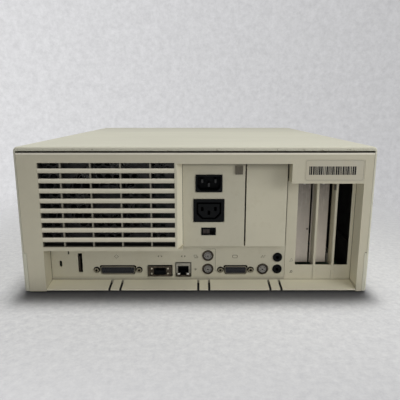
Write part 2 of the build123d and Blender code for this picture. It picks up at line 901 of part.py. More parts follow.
def make_dsub_shell(x, width, screws):
    """Metal nose of a D-sub port, on a flange behind the panel."""
    face_y = (panel_back, panel_back + dsub_flange_sheet)
    nose_y = (panel_plane - dsub_proud, face_y[1])
    flange_x = span(x, screws + 2 * screw_margin)
    shell = rounded_y(flange_x, span(port_row, dsub_flange_height), face_y, 1.5)
    shell += d_shape(x, port_row, width, dsub_height, nose_y)
    hollow = (nose_y[0] - 1, nose_y[1] + 1)
    wall = 2 * dsub_wall
    shell -= d_shape(x, port_row, width - wall, dsub_height - wall, hollow, 1.6)
    for screw_x in span(x, screws):
        shell -= rod_y(screw_x, port_row, jack_shank_radius + 0.2, hollow)
    return shell


def make_dsub_insert(x, width, contacts):
    """Plastic core of a D-sub port with its two rows of contact holes."""
    face = panel_plane - dsub_proud + 0.7
    gap = 2 * dsub_wall + 0.2
    body_y = (panel_back + dsub_flange_sheet + running_gap, panel_plane + port_depth)
    core_y = (face, body_y[0] + 1)
    core = d_shape(x, port_row, width - gap, dsub_height - gap, core_y, 1.5)
    core += block(span(x, width), body_y, (board_top, port_row + 5.5))
    for row, count in ((1, contacts), (-1, contacts - 1)):
        for number in range(count):
            hole_x = x + (number - (count - 1) / 2) * contact_pitch
            hole_z = port_row + row * contact_row
            core -= rod_y(hole_x, hole_z, contact_radius, (face - 1, face + 4))
    return core


def make_jackscrews():
    """Hexagonal standoffs with threaded holes, two for each D-sub port."""
    screws = []
    for x in jackscrew_places():
        tip = panel_back - hex_length
        screw = hexagon_y(x, port_row, hex_across, (tip, panel_back))
        screw += rod_y(x, port_row, jack_shank_radius, (panel_back - 1, panel_back + 4))
        screw -= rod_y(x, port_row, jack_thread_radius, (tip - 1, panel_back - 1))
        screws.append(screw)
    return screws


def make_aaui_port():
    """Wide network socket: a shallow mouth with a slot in it."""
    y = (aaui_face, panel_plane + port_depth)
    port = block(span(aaui_x, aaui_width - 1), y, span(aaui_z, aaui_height - 1))
    mouth_y = (y[0] - 1, y[0] + 2)
    port -= block(span(aaui_x, aaui_mouth_width), mouth_y, span(aaui_z, aaui_mouth_height))
    slot_z = span(aaui_z + 1, aaui_slot_height)
    port -= block(span(aaui_x, aaui_slot_width), (y[0] - 1, y[0] + 9), slot_z)
    foot_y = (panel_back, y[1])
    return port + block(span(aaui_x, aaui_width - 6), foot_y, (board_top, aaui_z))


def aaui_post_places():
    """Middle of each retaining post of the wide network socket."""
    columns = span(aaui_x, 17.9)
    rows = span(aaui_z + 0.5, 5.8)
    return [(x, z) for x in columns for z in rows]


def make_aaui_posts():
    """Four bright retaining posts round the mouth of the wide network socket."""
    y = (aaui_face - shield_sheet - 0.9, aaui_face)
    return [rod_y(x, z, aaui_post_radius, y) for x, z in aaui_post_places()]


def make_aaui_shield():
    """Metal plate over the face of the wide network socket, held by its posts."""
    y = (aaui_face - shield_sheet, aaui_face - running_gap)
    hole_y = (y[0] - 1, y[1] + 1)
    shield = rounded_y(span(aaui_x, aaui_width), span(aaui_z, aaui_height), y, 0.8)
    mouth_x = span(aaui_x, aaui_mouth_width)
    shield -= rounded_y(mouth_x, span(aaui_z, aaui_mouth_height), hole_y, 1.2)
    for x, z in aaui_post_places():
        shield -= rod_y(x, z, aaui_post_radius + running_gap, hole_y)
    return shield


def rj45_mouth(y, key_y):
    """Cutter for the stepped mouth of the square network socket."""
    high = rj45_mouth_low + rj45_mouth_height
    mouth = block(span(rj45_x, rj45_mouth_width), y, (rj45_mouth_low, high))
    key_z = (rj45_key_low, rj45_mouth_low + 0.5)
    return mouth + block(span(rj45_x, rj45_key_width), key_y, key_z)


def make_rj45_socket():
    """Square network socket with a stepped mouth."""
    y = (rj45_face, panel_plane + port_depth)
    width = rj45_width - 2 * rj45_wall
    height = rj45_height - 2 * rj45_wall
    port = block(span(rj45_x, width), y, span(rj45_middle, height))
    port -= rj45_mouth((y[0] - 1, y[1] - 1.5), (y[0] - 1, y[0] + 7))
    foot_y = (panel_back, y[1])
    return port + block(span(rj45_x, 10), foot_y, (board_top, rj45_key_low))


def make_rj45_shield():
    """Metal sleeve and face of the square network socket."""
    wall = rj45_wall - running_gap
    y = (rj45_face - shield_sheet, panel_plane + port_depth - 2)
    shield = block(span(rj45_x, rj45_width), y, span(rj45_middle, rj45_height))
    hole_x = span(rj45_x, rj45_width - 2 * wall)
    hole_z = span(rj45_middle, rj45_height - 2 * wall)
    shield -= block(hole_x, (rj45_face - running_gap, y[1] + 1), hole_z)
    mouth_y = (y[0] - 1, rj45_face + 1)
    shield -= rj45_mouth(mouth_y, mouth_y)
    foot_x = span(rj45_x, 10.6)
    return shield - block(foot_x, (panel_plane + sheet, y[1] + 1), (0, port_row))


def make_din_shells():
    """Metal rings of the three round ports."""
    y = (panel_plane - din_proud, panel_plane + 6)
    shells = []
    for x, z in din_places():
        ring = rod_y(x, z, din_shell_radius, y)
        shells.append(ring - rod_y(x, z, din_bore, (y[0] - 1, y[1] + 1)))
    return shells


def din_core(x, z, count):
    """Plastic core of one round port, with a ring of contact holes and a key slot."""
    y = (panel_plane - din_proud + 0.8, panel_plane + 6.5)
    core = rod_y(x, z, din_core_radius, y)
    core += rod_y(x, z, din_bore - running_gap, (y[1] - 2, y[1]))
    core -= block(span(x, 1.8), (y[0] - 1, y[0] + 3), span(z - 0.4, 1.2))
    for number in range(count):
        angle = radians(360 / count * (number + 0.5))
        hole_x = x + din_contact_ring * cos(angle)
        hole_z = z + din_contact_ring * sin(angle)
        core -= rod_y(hole_x, hole_z, 0.5, (y[0] - 1, y[0] + 3))
    return core


def make_din_cores():
    """Stacked serial core and single keyboard core, each on a block on the board."""
    back = (panel_plane + 6.4, panel_plane + port_depth)
    width = 2 * din_radius
    stack = din_core(serial_x, round_row, 8) + din_core(serial_x, serial_upper_row, 8)
    stack += block(span(serial_x, width), back, (board_top, serial_upper_row + din_radius))
    single = din_core(keyboard_x, round_row, 4)
    single += block(span(keyboard_x, width), back, (board_top, round_row + din_radius))
    return [stack, single]


def make_audio_jacks():
    """Two stacked sound sockets in one block, each with a round nose."""
    back = (panel_plane + sheet + 1, panel_plane + port_depth + 2)
    width = 2 * audio_radius
    jacks = block(span(audio_x, width), back, (board_top, audio_upper_row + audio_radius))
    for z in audio_places():
        nose = (panel_plane - 1.0, back[0] + 1)
        jacks += rod_y(audio_x, z, audio_radius, nose)
        bore = (nose[0] - 1, nose[0] + audio_bore_depth)
        jacks -= rod_y(audio_x, z, audio_bore_radius, bore)
    return jacks


def make_lock_tab():
    """Steel loop behind the tall slot, for a padlock, on its own foot."""
    low = tab_slot_low + 1.5
    high = tab_slot_high - 3
    back = panel_plane + sheet + 12
    x = span(tab_slot_x - 0.6, 1.6)
    tab = block(x, (panel_plane - 0.5, back), (low, high))
    tab -= rod_x_hole(tab_slot_x, panel_plane + 7, (low + high) / 2, 3.2)
    return tab + block(span(tab_slot_x - 0.6, 9), (back - 8, back + 3), (board_top, low + 1.5))


def rod_x_hole(x, y, z, radius):
    """Cutter along X for a hole in a thin upright plate."""
    return Pos(x, y, z) * Rot(0, 90, 0) * Cylinder(radius, 12)


# ---- Power supply -----------------------------------------------------------------


def make_psu_case():
    """Sheet-metal box of the power supply, open behind the vent screen."""
    back = window_plane + sheet + fit_gap
    outer = block((psu_left, psu_right), (back, psu_front), (psu_low, psu_high))
    t = psu_sheet
    inner_x = (psu_left + t, psu_right - t)
    case = outer - block(inner_x, (back + t, psu_front - t), (psu_low + t, psu_high - t))
    vent = (psu_left + 4, window_left - 10)
    case -= block(vent, (back - 1, back + t + 1), (psu_low + 4, psu_high - 4))
    for hole_x, hole_z, width, height in psu_holes():
        hole = (span(hole_x, width + 2), span(hole_z, height + 2))
        case -= block(hole[0], (back - 1, back + t + 1), hole[1])
    for row in range(6):
        slot_z = span(psu_low + 22 + row * 10, 4)
        case -= block((psu_left + 40, psu_left + 110), (psu_front - t - 1, psu_front + 1), slot_z)
    return case


def make_vent_screen():
    """Steel sheet with staggered round holes, across the open back of the power supply."""
    front_face = window_plane + sheet
    x = (psu_left + 1, window_left - 7)
    z = (psu_low + 1, psu_high - 1)
    row_pitch = screen_pitch * sin(radians(60))
    columns = int((x[1] - x[0] - screen_pitch) / screen_pitch)
    rows = int((z[1] - z[0] - screen_pitch) / row_pitch) + 1
    holes = []
    for row in range(rows):
        stagger = (row % 2 - 0.5) * screen_pitch / 2
        hole_z = (row - (rows - 1) / 2) * row_pitch
        for column in range(columns):
            hole_x = (column - (columns - 1) / 2) * screen_pitch + stagger
            holes.append(Pos(hole_x, hole_z) * Circle(screen_hole_radius))
    face = Rectangle(x[1] - x[0], z[1] - z[0]) - holes
    place = Pos((x[0] + x[1]) / 2, front_face, (z[0] + z[1]) / 2)
    return place * extrude(Plane.XZ * face, screen_sheet)


def make_psu_circuit():
    """Circuit board of the power supply with a transformer, a heat sink and capacitors."""
    t = psu_sheet
    low = psu_low + t + 5
    right = psu_right - 26
    y = (window_plane + 36, psu_front - 6)
    board = block((psu_left + 8, right), y, (low, low + board_sheet))
    for x in (psu_left + 14, right - 6):
        for post_y in (y[0] + 6, y[1] - 6):
            board += rod_z(x, post_y, 2.5, (psu_low + t, low + 0.5))
    top = low + board_sheet - 0.2
    board += block(span(fan_x - 30, 40), span(y[1] - 26, 34), (top, top + 34))
    board += block((fan_x + 20, fan_x + 76), span(y[0] + 14, 3), (top, top + 60))
    for number in range(3):
        x = fan_x + 24 + number * 26
        board += rod_z(x, y[1] - 18, 11, (top, top + 40))
    return board


def plug_bar(z, width, height, y, corner):
    """A bar along Y with the outline of a mains plug: its two lower corners cut off."""
    left, right = span(inlet_x, width)
    low, high = span(z, height)
    outline = [
        (left, high),
        (right, high),
        (right, low + corner),
        (right - corner, low),
        (left + corner, low),
        (left, low + corner),
    ]
    return prism_y(outline, y)


def make_power_inlet():
    """Mains inlet: a deep plastic cup with three blades at its back."""
    y = (window_plane - inlet_proud, window_plane + inlet_depth)
    x = span(inlet_x, inlet_width)
    z = span(inlet_z, inlet_height)
    cup = rounded_y(x, z, y, 2)
    wall = 2 * inlet_wall
    mouth_y = (y[0] - 1, y[1] - inlet_wall)
    cup -= plug_bar(inlet_z, inlet_width - wall, inlet_height - wall, mouth_y, plug_corner)
    for pin_x, pin_z in blade_places():
        pin = span(pin_x, blade_width + 2 * running_gap), span(pin_z, blade_height + 2 * running_gap)
        cup -= block(pin[0], (y[1] - inlet_wall - 1, y[1] + 1), pin[1])
    return cup


def blade_places():
    """Middle of each blade of the mains inlet."""
    low = inlet_z - blade_offset
    high = inlet_z + blade_offset
    return [(inlet_x - blade_pitch, high), (inlet_x, low), (inlet_x + blade_pitch, high)]


def make_inlet_blades():
    """Three flat blades of the mains inlet."""
    y = (window_plane - inlet_proud + blade_recess, window_plane + inlet_depth + 5)
    return [block(span(x, blade_width), y, span(z, blade_height)) for x, z in blade_places()]


def make_power_outlet():
    """Mains outlet for a monitor: a core with three slots inside a ring-shaped moat."""
    y = (window_plane - inlet_proud, window_plane + inlet_depth)
    body = rounded_y(span(inlet_x, outlet_width), span(outlet_z, outlet_height), y, 2)
    moat_width = outlet_core_width + 2 * outlet_moat
    moat_height = outlet_core_height + 2 * outlet_moat
    moat_y = (y[0] - 1, y[0] + 14)
    moat = plug_bar(outlet_z, moat_width, moat_height, moat_y, outlet_corner + 0.8)
    core_y = (y[0] - 2, moat_y[1] + 1)
    body -= moat - plug_bar(outlet_z, outlet_core_width, outlet_core_height, core_y, outlet_corner)
    for pin_x, pin_z in blade_places():
        slot_z = span(pin_z - inlet_z + outlet_z, blade_height + 0.8)
        body -= block(span(pin_x, blade_width + 0.8), (y[0] - 1, y[0] + 15), slot_z)
    return body


def make_selector_housing():
    """Frame of the voltage selector, with a sunk track for its slider."""
    y = (window_plane - 0.8, window_plane + 10)
    x = span(selector_x, selector_width)
    z = span(selector_z, selector_height)
    body = block(x, y, z)
    track_x = span(selector_x, selector_width - 2.4)
    return body - block(track_x, (y[0] - 1, y[0] + 6), span(selector_z, selector_height - 2.4))


def make_selector_slider():
    """Slider of the voltage selector, at the left end of its track."""
    track = selector_width - 2.4
    length = track - selector_travel - 2 * fit_gap
    left = selector_x - track / 2 + fit_gap
    y = (window_plane + 1.0, window_plane + 5.2 - fit_gap)
    slider = block((left, left + length), y, span(selector_z, selector_height - 3.0))
    groove_x = span(left + length / 2, 1.2)
    return slider - block(groove_x, (y[0] - 1, y[0] + 1.5), span(selector_z, 3.4))


def make_ground_clip():
    """Small grooved steel clip at the top of the power panel."""
    x = span(clip_x, clip_width)
    y = (window_plane - clip_proud, window_plane)
    clip = block(x, y, span(clip_z, clip_height))
    for groove_x in row_middles(x[0], x[1], [clip_groove] * 3, [1] * 4):
        groove_y = (y[0] - 1, y[0] + clip_groove)
        clip -= block(span(groove_x, clip_groove), groove_y, span(clip_z - 0.5, clip_height - 2))
    return clip


def fan_span():
    """Rear and front plane of the fan."""
    back = window_plane + sheet + fit_gap + psu_sheet
    return (back, back + fan_depth)


def make_fan_frame():
    """Square fan frame with a round duct, struts, a motor plate and the fan's pin."""
    y = fan_span()
    frame = rounded_y(span(fan_x, fan_size), span(fan_z, fan_size), y, 5)
    frame -= rod_y(fan_x, fan_z, fan_bore, (y[0] - 1, y[1] + 1))
    plate_y = (y[1] - 3, y[1])
    frame += rod_y(fan_x, fan_z, fan_hub, plate_y)
    strut = block(span(0, 2 * fan_bore + 2), plate_y, span(0, 4))
    for angle in (45, 135):
        frame += Pos(fan_x, 0, fan_z) * Rot(0, angle, 0) * strut
    frame += rod_y(fan_x, fan_z, fan_pin, (y[0] + 4, plate_y[0] + 1))
    for dx in (-1, 1):
        for dz in (-1, 1):
            corner = fan_size / 2 - 5
            x = fan_x + dx * corner
            z = fan_z + dz * corner
            frame -= rod_y(x, z, 2.2, (y[0] - 1, y[1] + 1))
    return frame


def make_fan_rotor():
    """Fan wheel with slanted blades, on the pin of the frame."""
    y = (fan_span()[0] + 2, fan_span()[1] - 3.5)
    rotor = rod_y(fan_x, fan_z, fan_hub - 1, y)
    middle = (y[0] + y[1]) / 2
    reach = fan_bore - 2.2
    chord = 20
    blade = block((fan_hub - 2, reach), span(0, 1.6), span(0, chord))
    for number in range(fan_blades):
        turn = Rot(0, 360 / fan_blades * number, 0)
        rotor += Pos(fan_x, middle, fan_z) * turn * Rot(55, 0, 0) * blade
    return rotor - rod_y(fan_x, fan_z, fan_pin + running_gap, (y[0] + 2, y[1] + 1))


# ---- Carriage and drives ----------------------------------------------------------


def cd_sides():
    """Left and right side of the disc drive."""
    return span(cd_x, cd_width)


def floppy_sides():
    """Left and right side of the diskette drive and the hard drive."""
    return span(floppy_x, floppy_width)


def make_carriage():
    """Moulded tray over the logic board, with shelves and walls for the drives."""
    left = -pan_side + fit_gap
    back = panel_plane + sheet + fit_gap
    y = (hard_drive_back - 4, carriage_front)
    base_z = (carriage_low, carriage_top)
    carriage = block((left, window_right - 1.9), (back, psu_front), base_z)
    carriage += block((left, cd_right + 5), (psu_front, carriage_front), base_z)
    gap_y = (ribbon_y - 4, cd_back + 15)
    carriage -= block((-60, 80), gap_y, (carriage_low - 1, carriage_top + 1))
    cd = cd_sides()
    floppy = floppy_sides()
    wall_z = (carriage_top - 0.5, cd_low + 14)
    walls = (
        (floppy[0] - drive_gap - bay_wall, floppy[0] - drive_gap),
        (floppy[1] + drive_gap, floppy[1] + drive_gap + bay_wall),
        (cd[0] - drive_gap - bay_wall, cd[0] - drive_gap),
        (cd[1] + drive_gap, cd[1] + drive_gap + bay_wall),
    )
    for wall in walls:
        carriage += block(wall, y, wall_z)
    shelf_z = (cd_low - drive_gap - bay_wall, cd_low - drive_gap)
    carriage += block((walls[2][0], walls[3][1]), y, shelf_z)
    shelf_z = (floppy_low - drive_gap - bay_wall, floppy_low - drive_gap)
    carriage += block((walls[0][0], walls[1][1]), y, shelf_z)
    rail_z = (carriage_top - 0.5, hard_drive_low - drive_gap)
    for x in ((floppy[0], floppy[0] + 6), (floppy[1] - 6, floppy[1])):
        carriage += block(x, y, rail_z)
    rest_z = (carriage_top - 0.5, psu_low - fit_gap)
    for x in (psu_left + 20, psu_right - 20):
        carriage += block(span(x, 12), (back + 8, psu_front - 4), rest_z)
    return carriage


def make_cd_case():
    """Steel case of the disc drive with guide rails, open at the front."""
    x = cd_sides()
    y = (cd_back, cd_case_front)
    z = (cd_low, cd_low + cd_height)
    t = cd_sheet
    inner = block((x[0] + t, x[1] - t), (y[0] + t, y[1] + 1), (z[0] + t, z[1] - t))
    case = block(x, y, z) - inner
    for side in (-1, 1):
        edge = side * (tray_width / 2 - 4)
        rail_x = sorted((cd_x + edge, cd_x + side * (cd_width / 2 - t / 2)))
        case += block(rail_x, (y[1] - 120, y[1] - 6), (z[0] + t / 2, tray_low - drive_gap))
    return case


def make_cd_mechanism():
    """Disc motor and reading head on a plate below the tray."""
    z = cd_low + cd_sheet
    y = (cd_back + 12, cd_case_front - 12)
    x = span(cd_x, tray_width - 20)
    plate = block(x, y, (z, z + 3))
    plate += rod_z(cd_x, cd_case_front - 62, 14, (z + 2.5, z + 14))
    plate += block(span(cd_x + 8, 26), span(cd_case_front - 100, 30), (z + 2.5, z + 9))
    return plate


def make_cd_fascia():
    """Front panel of the disc drive with the tray's mouth, a button hole and a lamp hole."""
    middle = cd_low + cd_height / 2
    y = (cd_case_front + fit_gap, fascia_front)
    t = fascia_wall
    fascia = rounded_y(span(cd_x, fascia_width), span(middle, fascia_height), y, 1.5)
    hollow_x = span(cd_x, fascia_width - 2 * t)
    hollow_z = span(middle, fascia_height - 2 * t)
    fascia -= block(hollow_x, (y[0] - 1, y[1] - t), hollow_z)
    mouth_z = span(tray_low + tray_height / 2, tray_door_height + 0.8)
    fascia -= block(span(cd_x, tray_width + 2.8), (y[0], y[1] + 1), mouth_z)
    fascia -= block(span(eject_x, 12 + 0.6), (y[0], y[1] + 1), span(eject_z, 5 + 0.6))
    fascia -= rod_y(eject_x - 14, eject_z, 1.2, (y[0], y[1] + 1))
    return fascia


def make_cd_tray():
    """Sliding tray with a round well for the disc and its own front door."""
    door_y = (fascia_front - fascia_wall, fascia_front)
    y = (door_y[0] - tray_length, door_y[0] + 1)
    z = (tray_low, tray_low + tray_height)
    tray = block(span(cd_x, tray_width), y, z)
    centre = door_y[0] - disc_radius - 10
    tray -= rod_z(cd_x, centre, disc_radius, (z[1] - 1.8, z[1] + 1))
    tray -= rod_z(cd_x, centre, 18, (z[0] - 1, z[1] + 1))
    door_z = span(tray_low + tray_height / 2, tray_door_height)
    return tray + block(span(cd_x, tray_width + 2), door_y, door_z)


def make_eject_button():
    """Eject button of the disc drive."""
    y = (fascia_front - fascia_wall - 1, fascia_front + 0.8)
    button = block(span(eject_x, 12), y, span(eject_z, 5))
    collar_y = (y[0] - 1.5, fascia_front - fascia_wall - fit_gap)
    return button + block(span(eject_x, 15), collar_y, span(eject_z, 7.4))


def make_floppy_drive():
    """Diskette drive: a hollow steel box with a guide channel for the diskette."""
    x = floppy_sides()
    y = (floppy_back, floppy_front)
    z = (floppy_low, floppy_low + floppy_height)
    t = cd_sheet
    inner = block((x[0] + t, x[1] - t), (y[0] + t, y[1] - t), (z[0] + t, z[1] - t))
    drive = block(x, y, z) - inner
    guide_y = (floppy_front - floppy_slot_depth, floppy_front)
    guide_x = span(floppy_x, floppy_slot_width + 2 * t)
    drive += block(guide_x, guide_y, span(floppy_slot_z, floppy_slot_height + 2 * t))
    drive += block(guide_x, (guide_y[0], guide_y[0] + 30), (z[0] + t / 2, floppy_slot_z))
    slot_y = (guide_y[0] + t, floppy_front + 1)
    slot_z = span(floppy_slot_z, floppy_slot_height)
    return drive - block(span(floppy_x, floppy_slot_width), slot_y, slot_z)


def make_hard_drive():
    """Sealed hard drive: a cast body with a stepped lid."""
    x = floppy_sides()
    y = (hard_drive_back, hard_drive_front)
    drive = block(x, y, (hard_drive_low, hard_drive_low + 20))
    lid_x = (x[0] + 4, x[1] - 4)
    return drive + block(lid_x, (y[0] + 6, y[1] - 5), (hard_drive_low + 19, hard_drive_low + 25.4))


# ---- Front works ------------------------------------------------------------------


def make_switch_board():
    """Small circuit board with three push switches and the power lamp."""
    y = (switch_board_plane, switch_board_plane + board_sheet)
    board = block((interrupt_x - switch_board_margin, light_x + 8), y, span(power_z, 20))
    for x in (interrupt_x - 3, light_x + 4):
        board += rod_y(x, power_z - 6, 2.5, (pan_front, y[0] + 0.5))
    for x, size in ((power_x, 12), (reset_x, 6), (interrupt_x, 6)):
        board += block(span(x, size), (y[1] - 0.2, y[1] + 3), span(power_z, size))
        board += rod_y(x, power_z, 1.7, (y[1] + 2.5, y[1] + switch_tip))
    lamp_y = (y[1] - 0.2, front - bezel_wall - 3 - 2 * fit_gap)
    return board + rod_y(light_x, power_z, 1.5, lamp_y)


def make_speaker():
    """Loudspeaker basket with its magnet behind the pan's upright and an open front."""
    seat = pan_front
    speaker = rod_y(speaker_x, speaker_z, speaker_radius, (seat, seat + 3))
    speaker += rod_y(speaker_x, speaker_z, speaker_neck, (seat - 9, seat + 1))
    speaker += rod_y(speaker_x, speaker_z, speaker_magnet, (seat - 20, seat - 8))
    return speaker - rod_y(speaker_x, speaker_z, speaker_radius - 3, (seat + 1.5, seat + 4))


def make_speaker_cone():
    """Paper cone of the loudspeaker."""
    seat = pan_front + 1.5
    eye = 0.24 * speaker_radius
    mouth = speaker_radius - 3.3
    turn = Rot(-90, 0, 0)
    cone = Pos(speaker_x, seat + 4, speaker_z) * turn * Cone(eye, mouth, 8)
    inner = Pos(speaker_x, seat + 4.7, speaker_z) * turn * Cone(eye - 1, mouth - 0.7, 8)
    return cone - inner


# ---- Logic board ------------------------------------------------------------------


def make_logic_board():
    """Main circuit board on the pan's bosses."""
    board = block((board_left, board_right), (board_rear, board_front), (board_low, board_top))
    for x, y in board_screw_places():
        board -= rod_z(x, y, board_screw_radius + 0.2, (board_low - 1, board_top + 1))
    return board


def make_board_screws():
    """Screws that hold the logic board to its bosses."""
    screws = []
    for x, y in board_screw_places():
        screw = rod_z(x, y, 2.9, (board_top, board_top + 1.8))
        screws.append(screw + rod_z(x, y, board_screw_radius, (floor_top + 0.5, board_top + 0.5)))
    return screws


def chip_places():
    """Middle and side of each square chip on the logic board."""
    large = 30.0
    medium = 26.0
    small = 20.0
    return [
        (-20, board_rear + 72, large),
        (40, board_rear + 72, large),
        (-80, board_rear + 52, medium),
        (-80, board_rear + 132, medium),
        (60, board_rear + 132, medium),
        (80, board_rear + 42, small),
        (battery_x, board_rear + 62, small),
    ]


def make_chips():
    """Square chips on the logic board."""
    z = (board_top, board_top + chip_height)
    return [block(span(x, size), span(y, size), z) for x, y, size in chip_places()]


def module_rows(count):
    """Y of the first memory sockets, from the rear."""
    return [module_first + number * module_pitch for number in range(count)]


def make_memory_sockets():
    """Row of long memory sockets."""
    x = span(module_x, module_socket_length)
    groove_x = span(module_x, module_length + 2 * fit_gap)
    z = (board_top, board_top + module_socket_height)
    sockets = []
    for y in module_rows(module_sockets):
        socket = block(x, span(y, module_socket_width), z)
        groove_y = span(y, module_sheet + 1.5 * fit_gap)
        sockets.append(socket - block(groove_x, groove_y, (module_low, z[1] + 1)))
    return sockets


def make_memory_modules():
    """Memory modules standing in four of the sockets."""
    modules = []
    chip_count = 8
    chip_pitch = module_length / (chip_count + 0.6)
    chip_z = (module_high - 17, module_high - 3)
    for y in module_rows(module_count):
        module = block(span(module_x, module_length), span(y, module_sheet), (module_low, module_high))
        for number in range(chip_count):
            chip_x = module_x + (number - (chip_count - 1) / 2) * chip_pitch
            module += block(span(chip_x, 11), (y - 2.2, y + 0.2), chip_z)
        modules.append(module)
    return modules


def make_processor_card():
    """Processor card standing in its slot on the logic board."""
    card_z = (board_top + 4, board_top + 32)
    card = block(span(processor_x, processor_length), span(processor_y, processor_sheet), card_z)
    socket_x = span(processor_x, processor_length - 10)
    socket_y = span(processor_y, processor_socket_width)
    return card + block(socket_x, socket_y, (board_top, board_top + processor_socket_width))


def make_heatsink():
    """Finned heat sink on the processor card."""
    face = processor_y + processor_sheet / 2
    z = (board_top + 9, board_top + 9 + heatsink_height)
    sink = block(span(processor_x, heatsink_width), (face, face + 4), z)
    pitch = (heatsink_width - 3.6) / (heatsink_fins - 1)
    for number in range(heatsink_fins):
        x = processor_x + (number - (heatsink_fins - 1) / 2) * pitch
        sink += block(span(x, 1.4), (face + 3, face + heatsink_reach), z)
    return sink


def make_card_connectors():
    """Card sockets on the logic board, one for each expansion slot."""
    y = (card_socket_rear, card_socket_front)
    z = (board_top, board_top + card_socket_height)
    sockets = []
    for centre in slot_cover_centres(bay_slots):
        socket = block(span(centre + 3, card_socket_width), y, z)
        groove = block(span(centre + 3, 1.8), (y[0] + 2, y[1] - 2), (board_top + 4, z[1] + 1))
        sockets.append(socket - groove)
    return sockets


def make_drive_ribbon():
    """Flat ribbon cable from its board header to the back of the disc drive."""
    low = board_top + ribbon_plug
    high = cd_low + cd_height / 2 - 8
    back = cd_back - fit_gap - ribbon_plug
    bend = back - ribbon_bend
    route = [(ribbon_y, low), (ribbon_y, low + 50), (bend, high), (back, high)]
    line = FilletPolyline(*route, radius=ribbon_bend)
    face = Plane.YZ * trace(line, ribbon_sheet)
    ribbon = Pos(ribbon_x - ribbon_width / 2, 0, 0) * extrude(face, ribbon_width)
    x = span(ribbon_x, ribbon_width + 4)
    board_plug = block(x, span(ribbon_y, 6), (board_top, low))
    drive_plug = block(x, (back, back + ribbon_plug), span(high, 6))
    return [ribbon, board_plug, drive_plug]


def make_battery_holder():
    """Open holder for the clock battery on the logic board."""
    x = span(battery_x, holder_length)
    z = (board_top, board_top + holder_height)
    holder = block(x, span(battery_y, holder_width), z)
    inside_x = span(battery_x, holder_length - 2 * holder_wall)
    inside_y = span(battery_y, holder_width - 2 * holder_wall)
    return holder - block(inside_x, inside_y, (z[0] + holder_wall, z[1] + 1))


def make_battery_cell():
    """Half-length cell lying in the battery holder."""
    z = board_top + holder_wall + fit_gap + battery_radius
    lying = Rot(0, 90, 0)
    cell = Pos(battery_x, battery_y, z) * lying * Cylinder(battery_radius, battery_length)
    cap_x = battery_x + battery_length / 2 + 0.3
    return cell + Pos(cap_x, battery_y, z) * lying * Cylinder(2.5, 1)


def write_parts():
    """Write every node."""
    os.makedirs("parts", exist_ok=True)
    save("base_pan", make_base_pan())
    save("feet", *make_feet())
    save("rear_frame", make_rear_frame())
    save("rating_label", make_label())
    save("vent_grille", make_vent_grille())
    save("port_panel", make_port_panel())
    psu_x = (window_left + fit_gap, psu_seam - panel_seam / 2)
    save("psu_panel", make_window_panel(psu_x, psu_holes()))
    blank_x = (psu_seam + panel_seam / 2, window_right - blank_gap)
    save("blank_panel", make_window_panel(blank_x, []))
    save("expansion_frame", make_expansion_frame())
    save("slot_covers", *make_slot_covers())
    save("screws", *make_slot_screws(), *make_board_screws())
    save("top_cover", make_top_cover())
    save("front_bezel", make_front_bezel())
    save("power_light_lens", make_light_lens())
    save("power_button", make_button(power_x, power_radius, front - 0.4))
    save("reset_button", make_button(reset_x, small_button_radius, front - 0.8))
    save("interrupt_button", make_button(interrupt_x, small_button_radius, front - 0.8))
    save("cover_latch_left", make_latch(-1))
    save("cover_latch_right", make_latch(1))
    save("cover_keepers", make_keeper(-1), make_keeper(1))
    save("power_inlet", make_power_inlet())
    save("inlet_blades", *make_inlet_blades())
    save("power_outlet", make_power_outlet())
    save("voltage_selector", make_selector_housing())
    save("voltage_slider", make_selector_slider())
    save("ground_clip", make_ground_clip())
    save("scsi_port_shell", make_dsub_shell(scsi_x, scsi_width, scsi_screws))
    save("video_port_shell", make_dsub_shell(video_x, video_width, video_screws))
    scsi_core = make_dsub_insert(scsi_x, scsi_width, scsi_contacts)
    save("dsub_port_cores", scsi_core, make_dsub_insert(video_x, video_width, video_contacts))
    save("port_jackposts", *make_jackscrews(), *make_aaui_posts())
    save("wide_network_port", make_aaui_port())
    save("network_socket", make_rj45_socket())
    save("port_shields", *make_din_shells(), make_rj45_shield(), make_aaui_shield())
    save("round_port_cores", *make_din_cores())
    save("audio_jacks", make_audio_jacks())
    save("lock_tab", make_lock_tab())
    save("psu_case", make_psu_case())
    save("vent_screen", make_vent_screen())
    save("psu_circuit", make_psu_circuit())
    save("fan_frame", make_fan_frame())
    save("fan_rotor", make_fan_rotor())
    save("carriage", make_carriage())
    save("cd_case", make_cd_case())
    save("cd_mechanism", make_cd_mechanism())
    save("cd_fascia", make_cd_fascia())
    save("cd_tray", make_cd_tray())
    save("cd_eject_button", make_eject_button())
    save("floppy_drive", make_floppy_drive())
    save("hard_drive", make_hard_drive())
    save("front_switch_board", make_switch_board())
    save("speaker_basket", make_speaker())
    save("speaker_cone", make_speaker_cone())
    save("logic_board", make_logic_board())
    save("logic_chips", *make_chips())
    save("board_sockets", *make_memory_sockets(), *make_card_connectors(), make_battery_holder())
    save("memory_modules", *make_memory_modules())
    save("processor_card", make_processor_card())
    save("processor_heatsink", make_heatsink())
    save("clock_battery", make_battery_cell())
    save("drive_ribbon", *make_drive_ribbon())


write_parts()
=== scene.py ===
import json
import math
import random

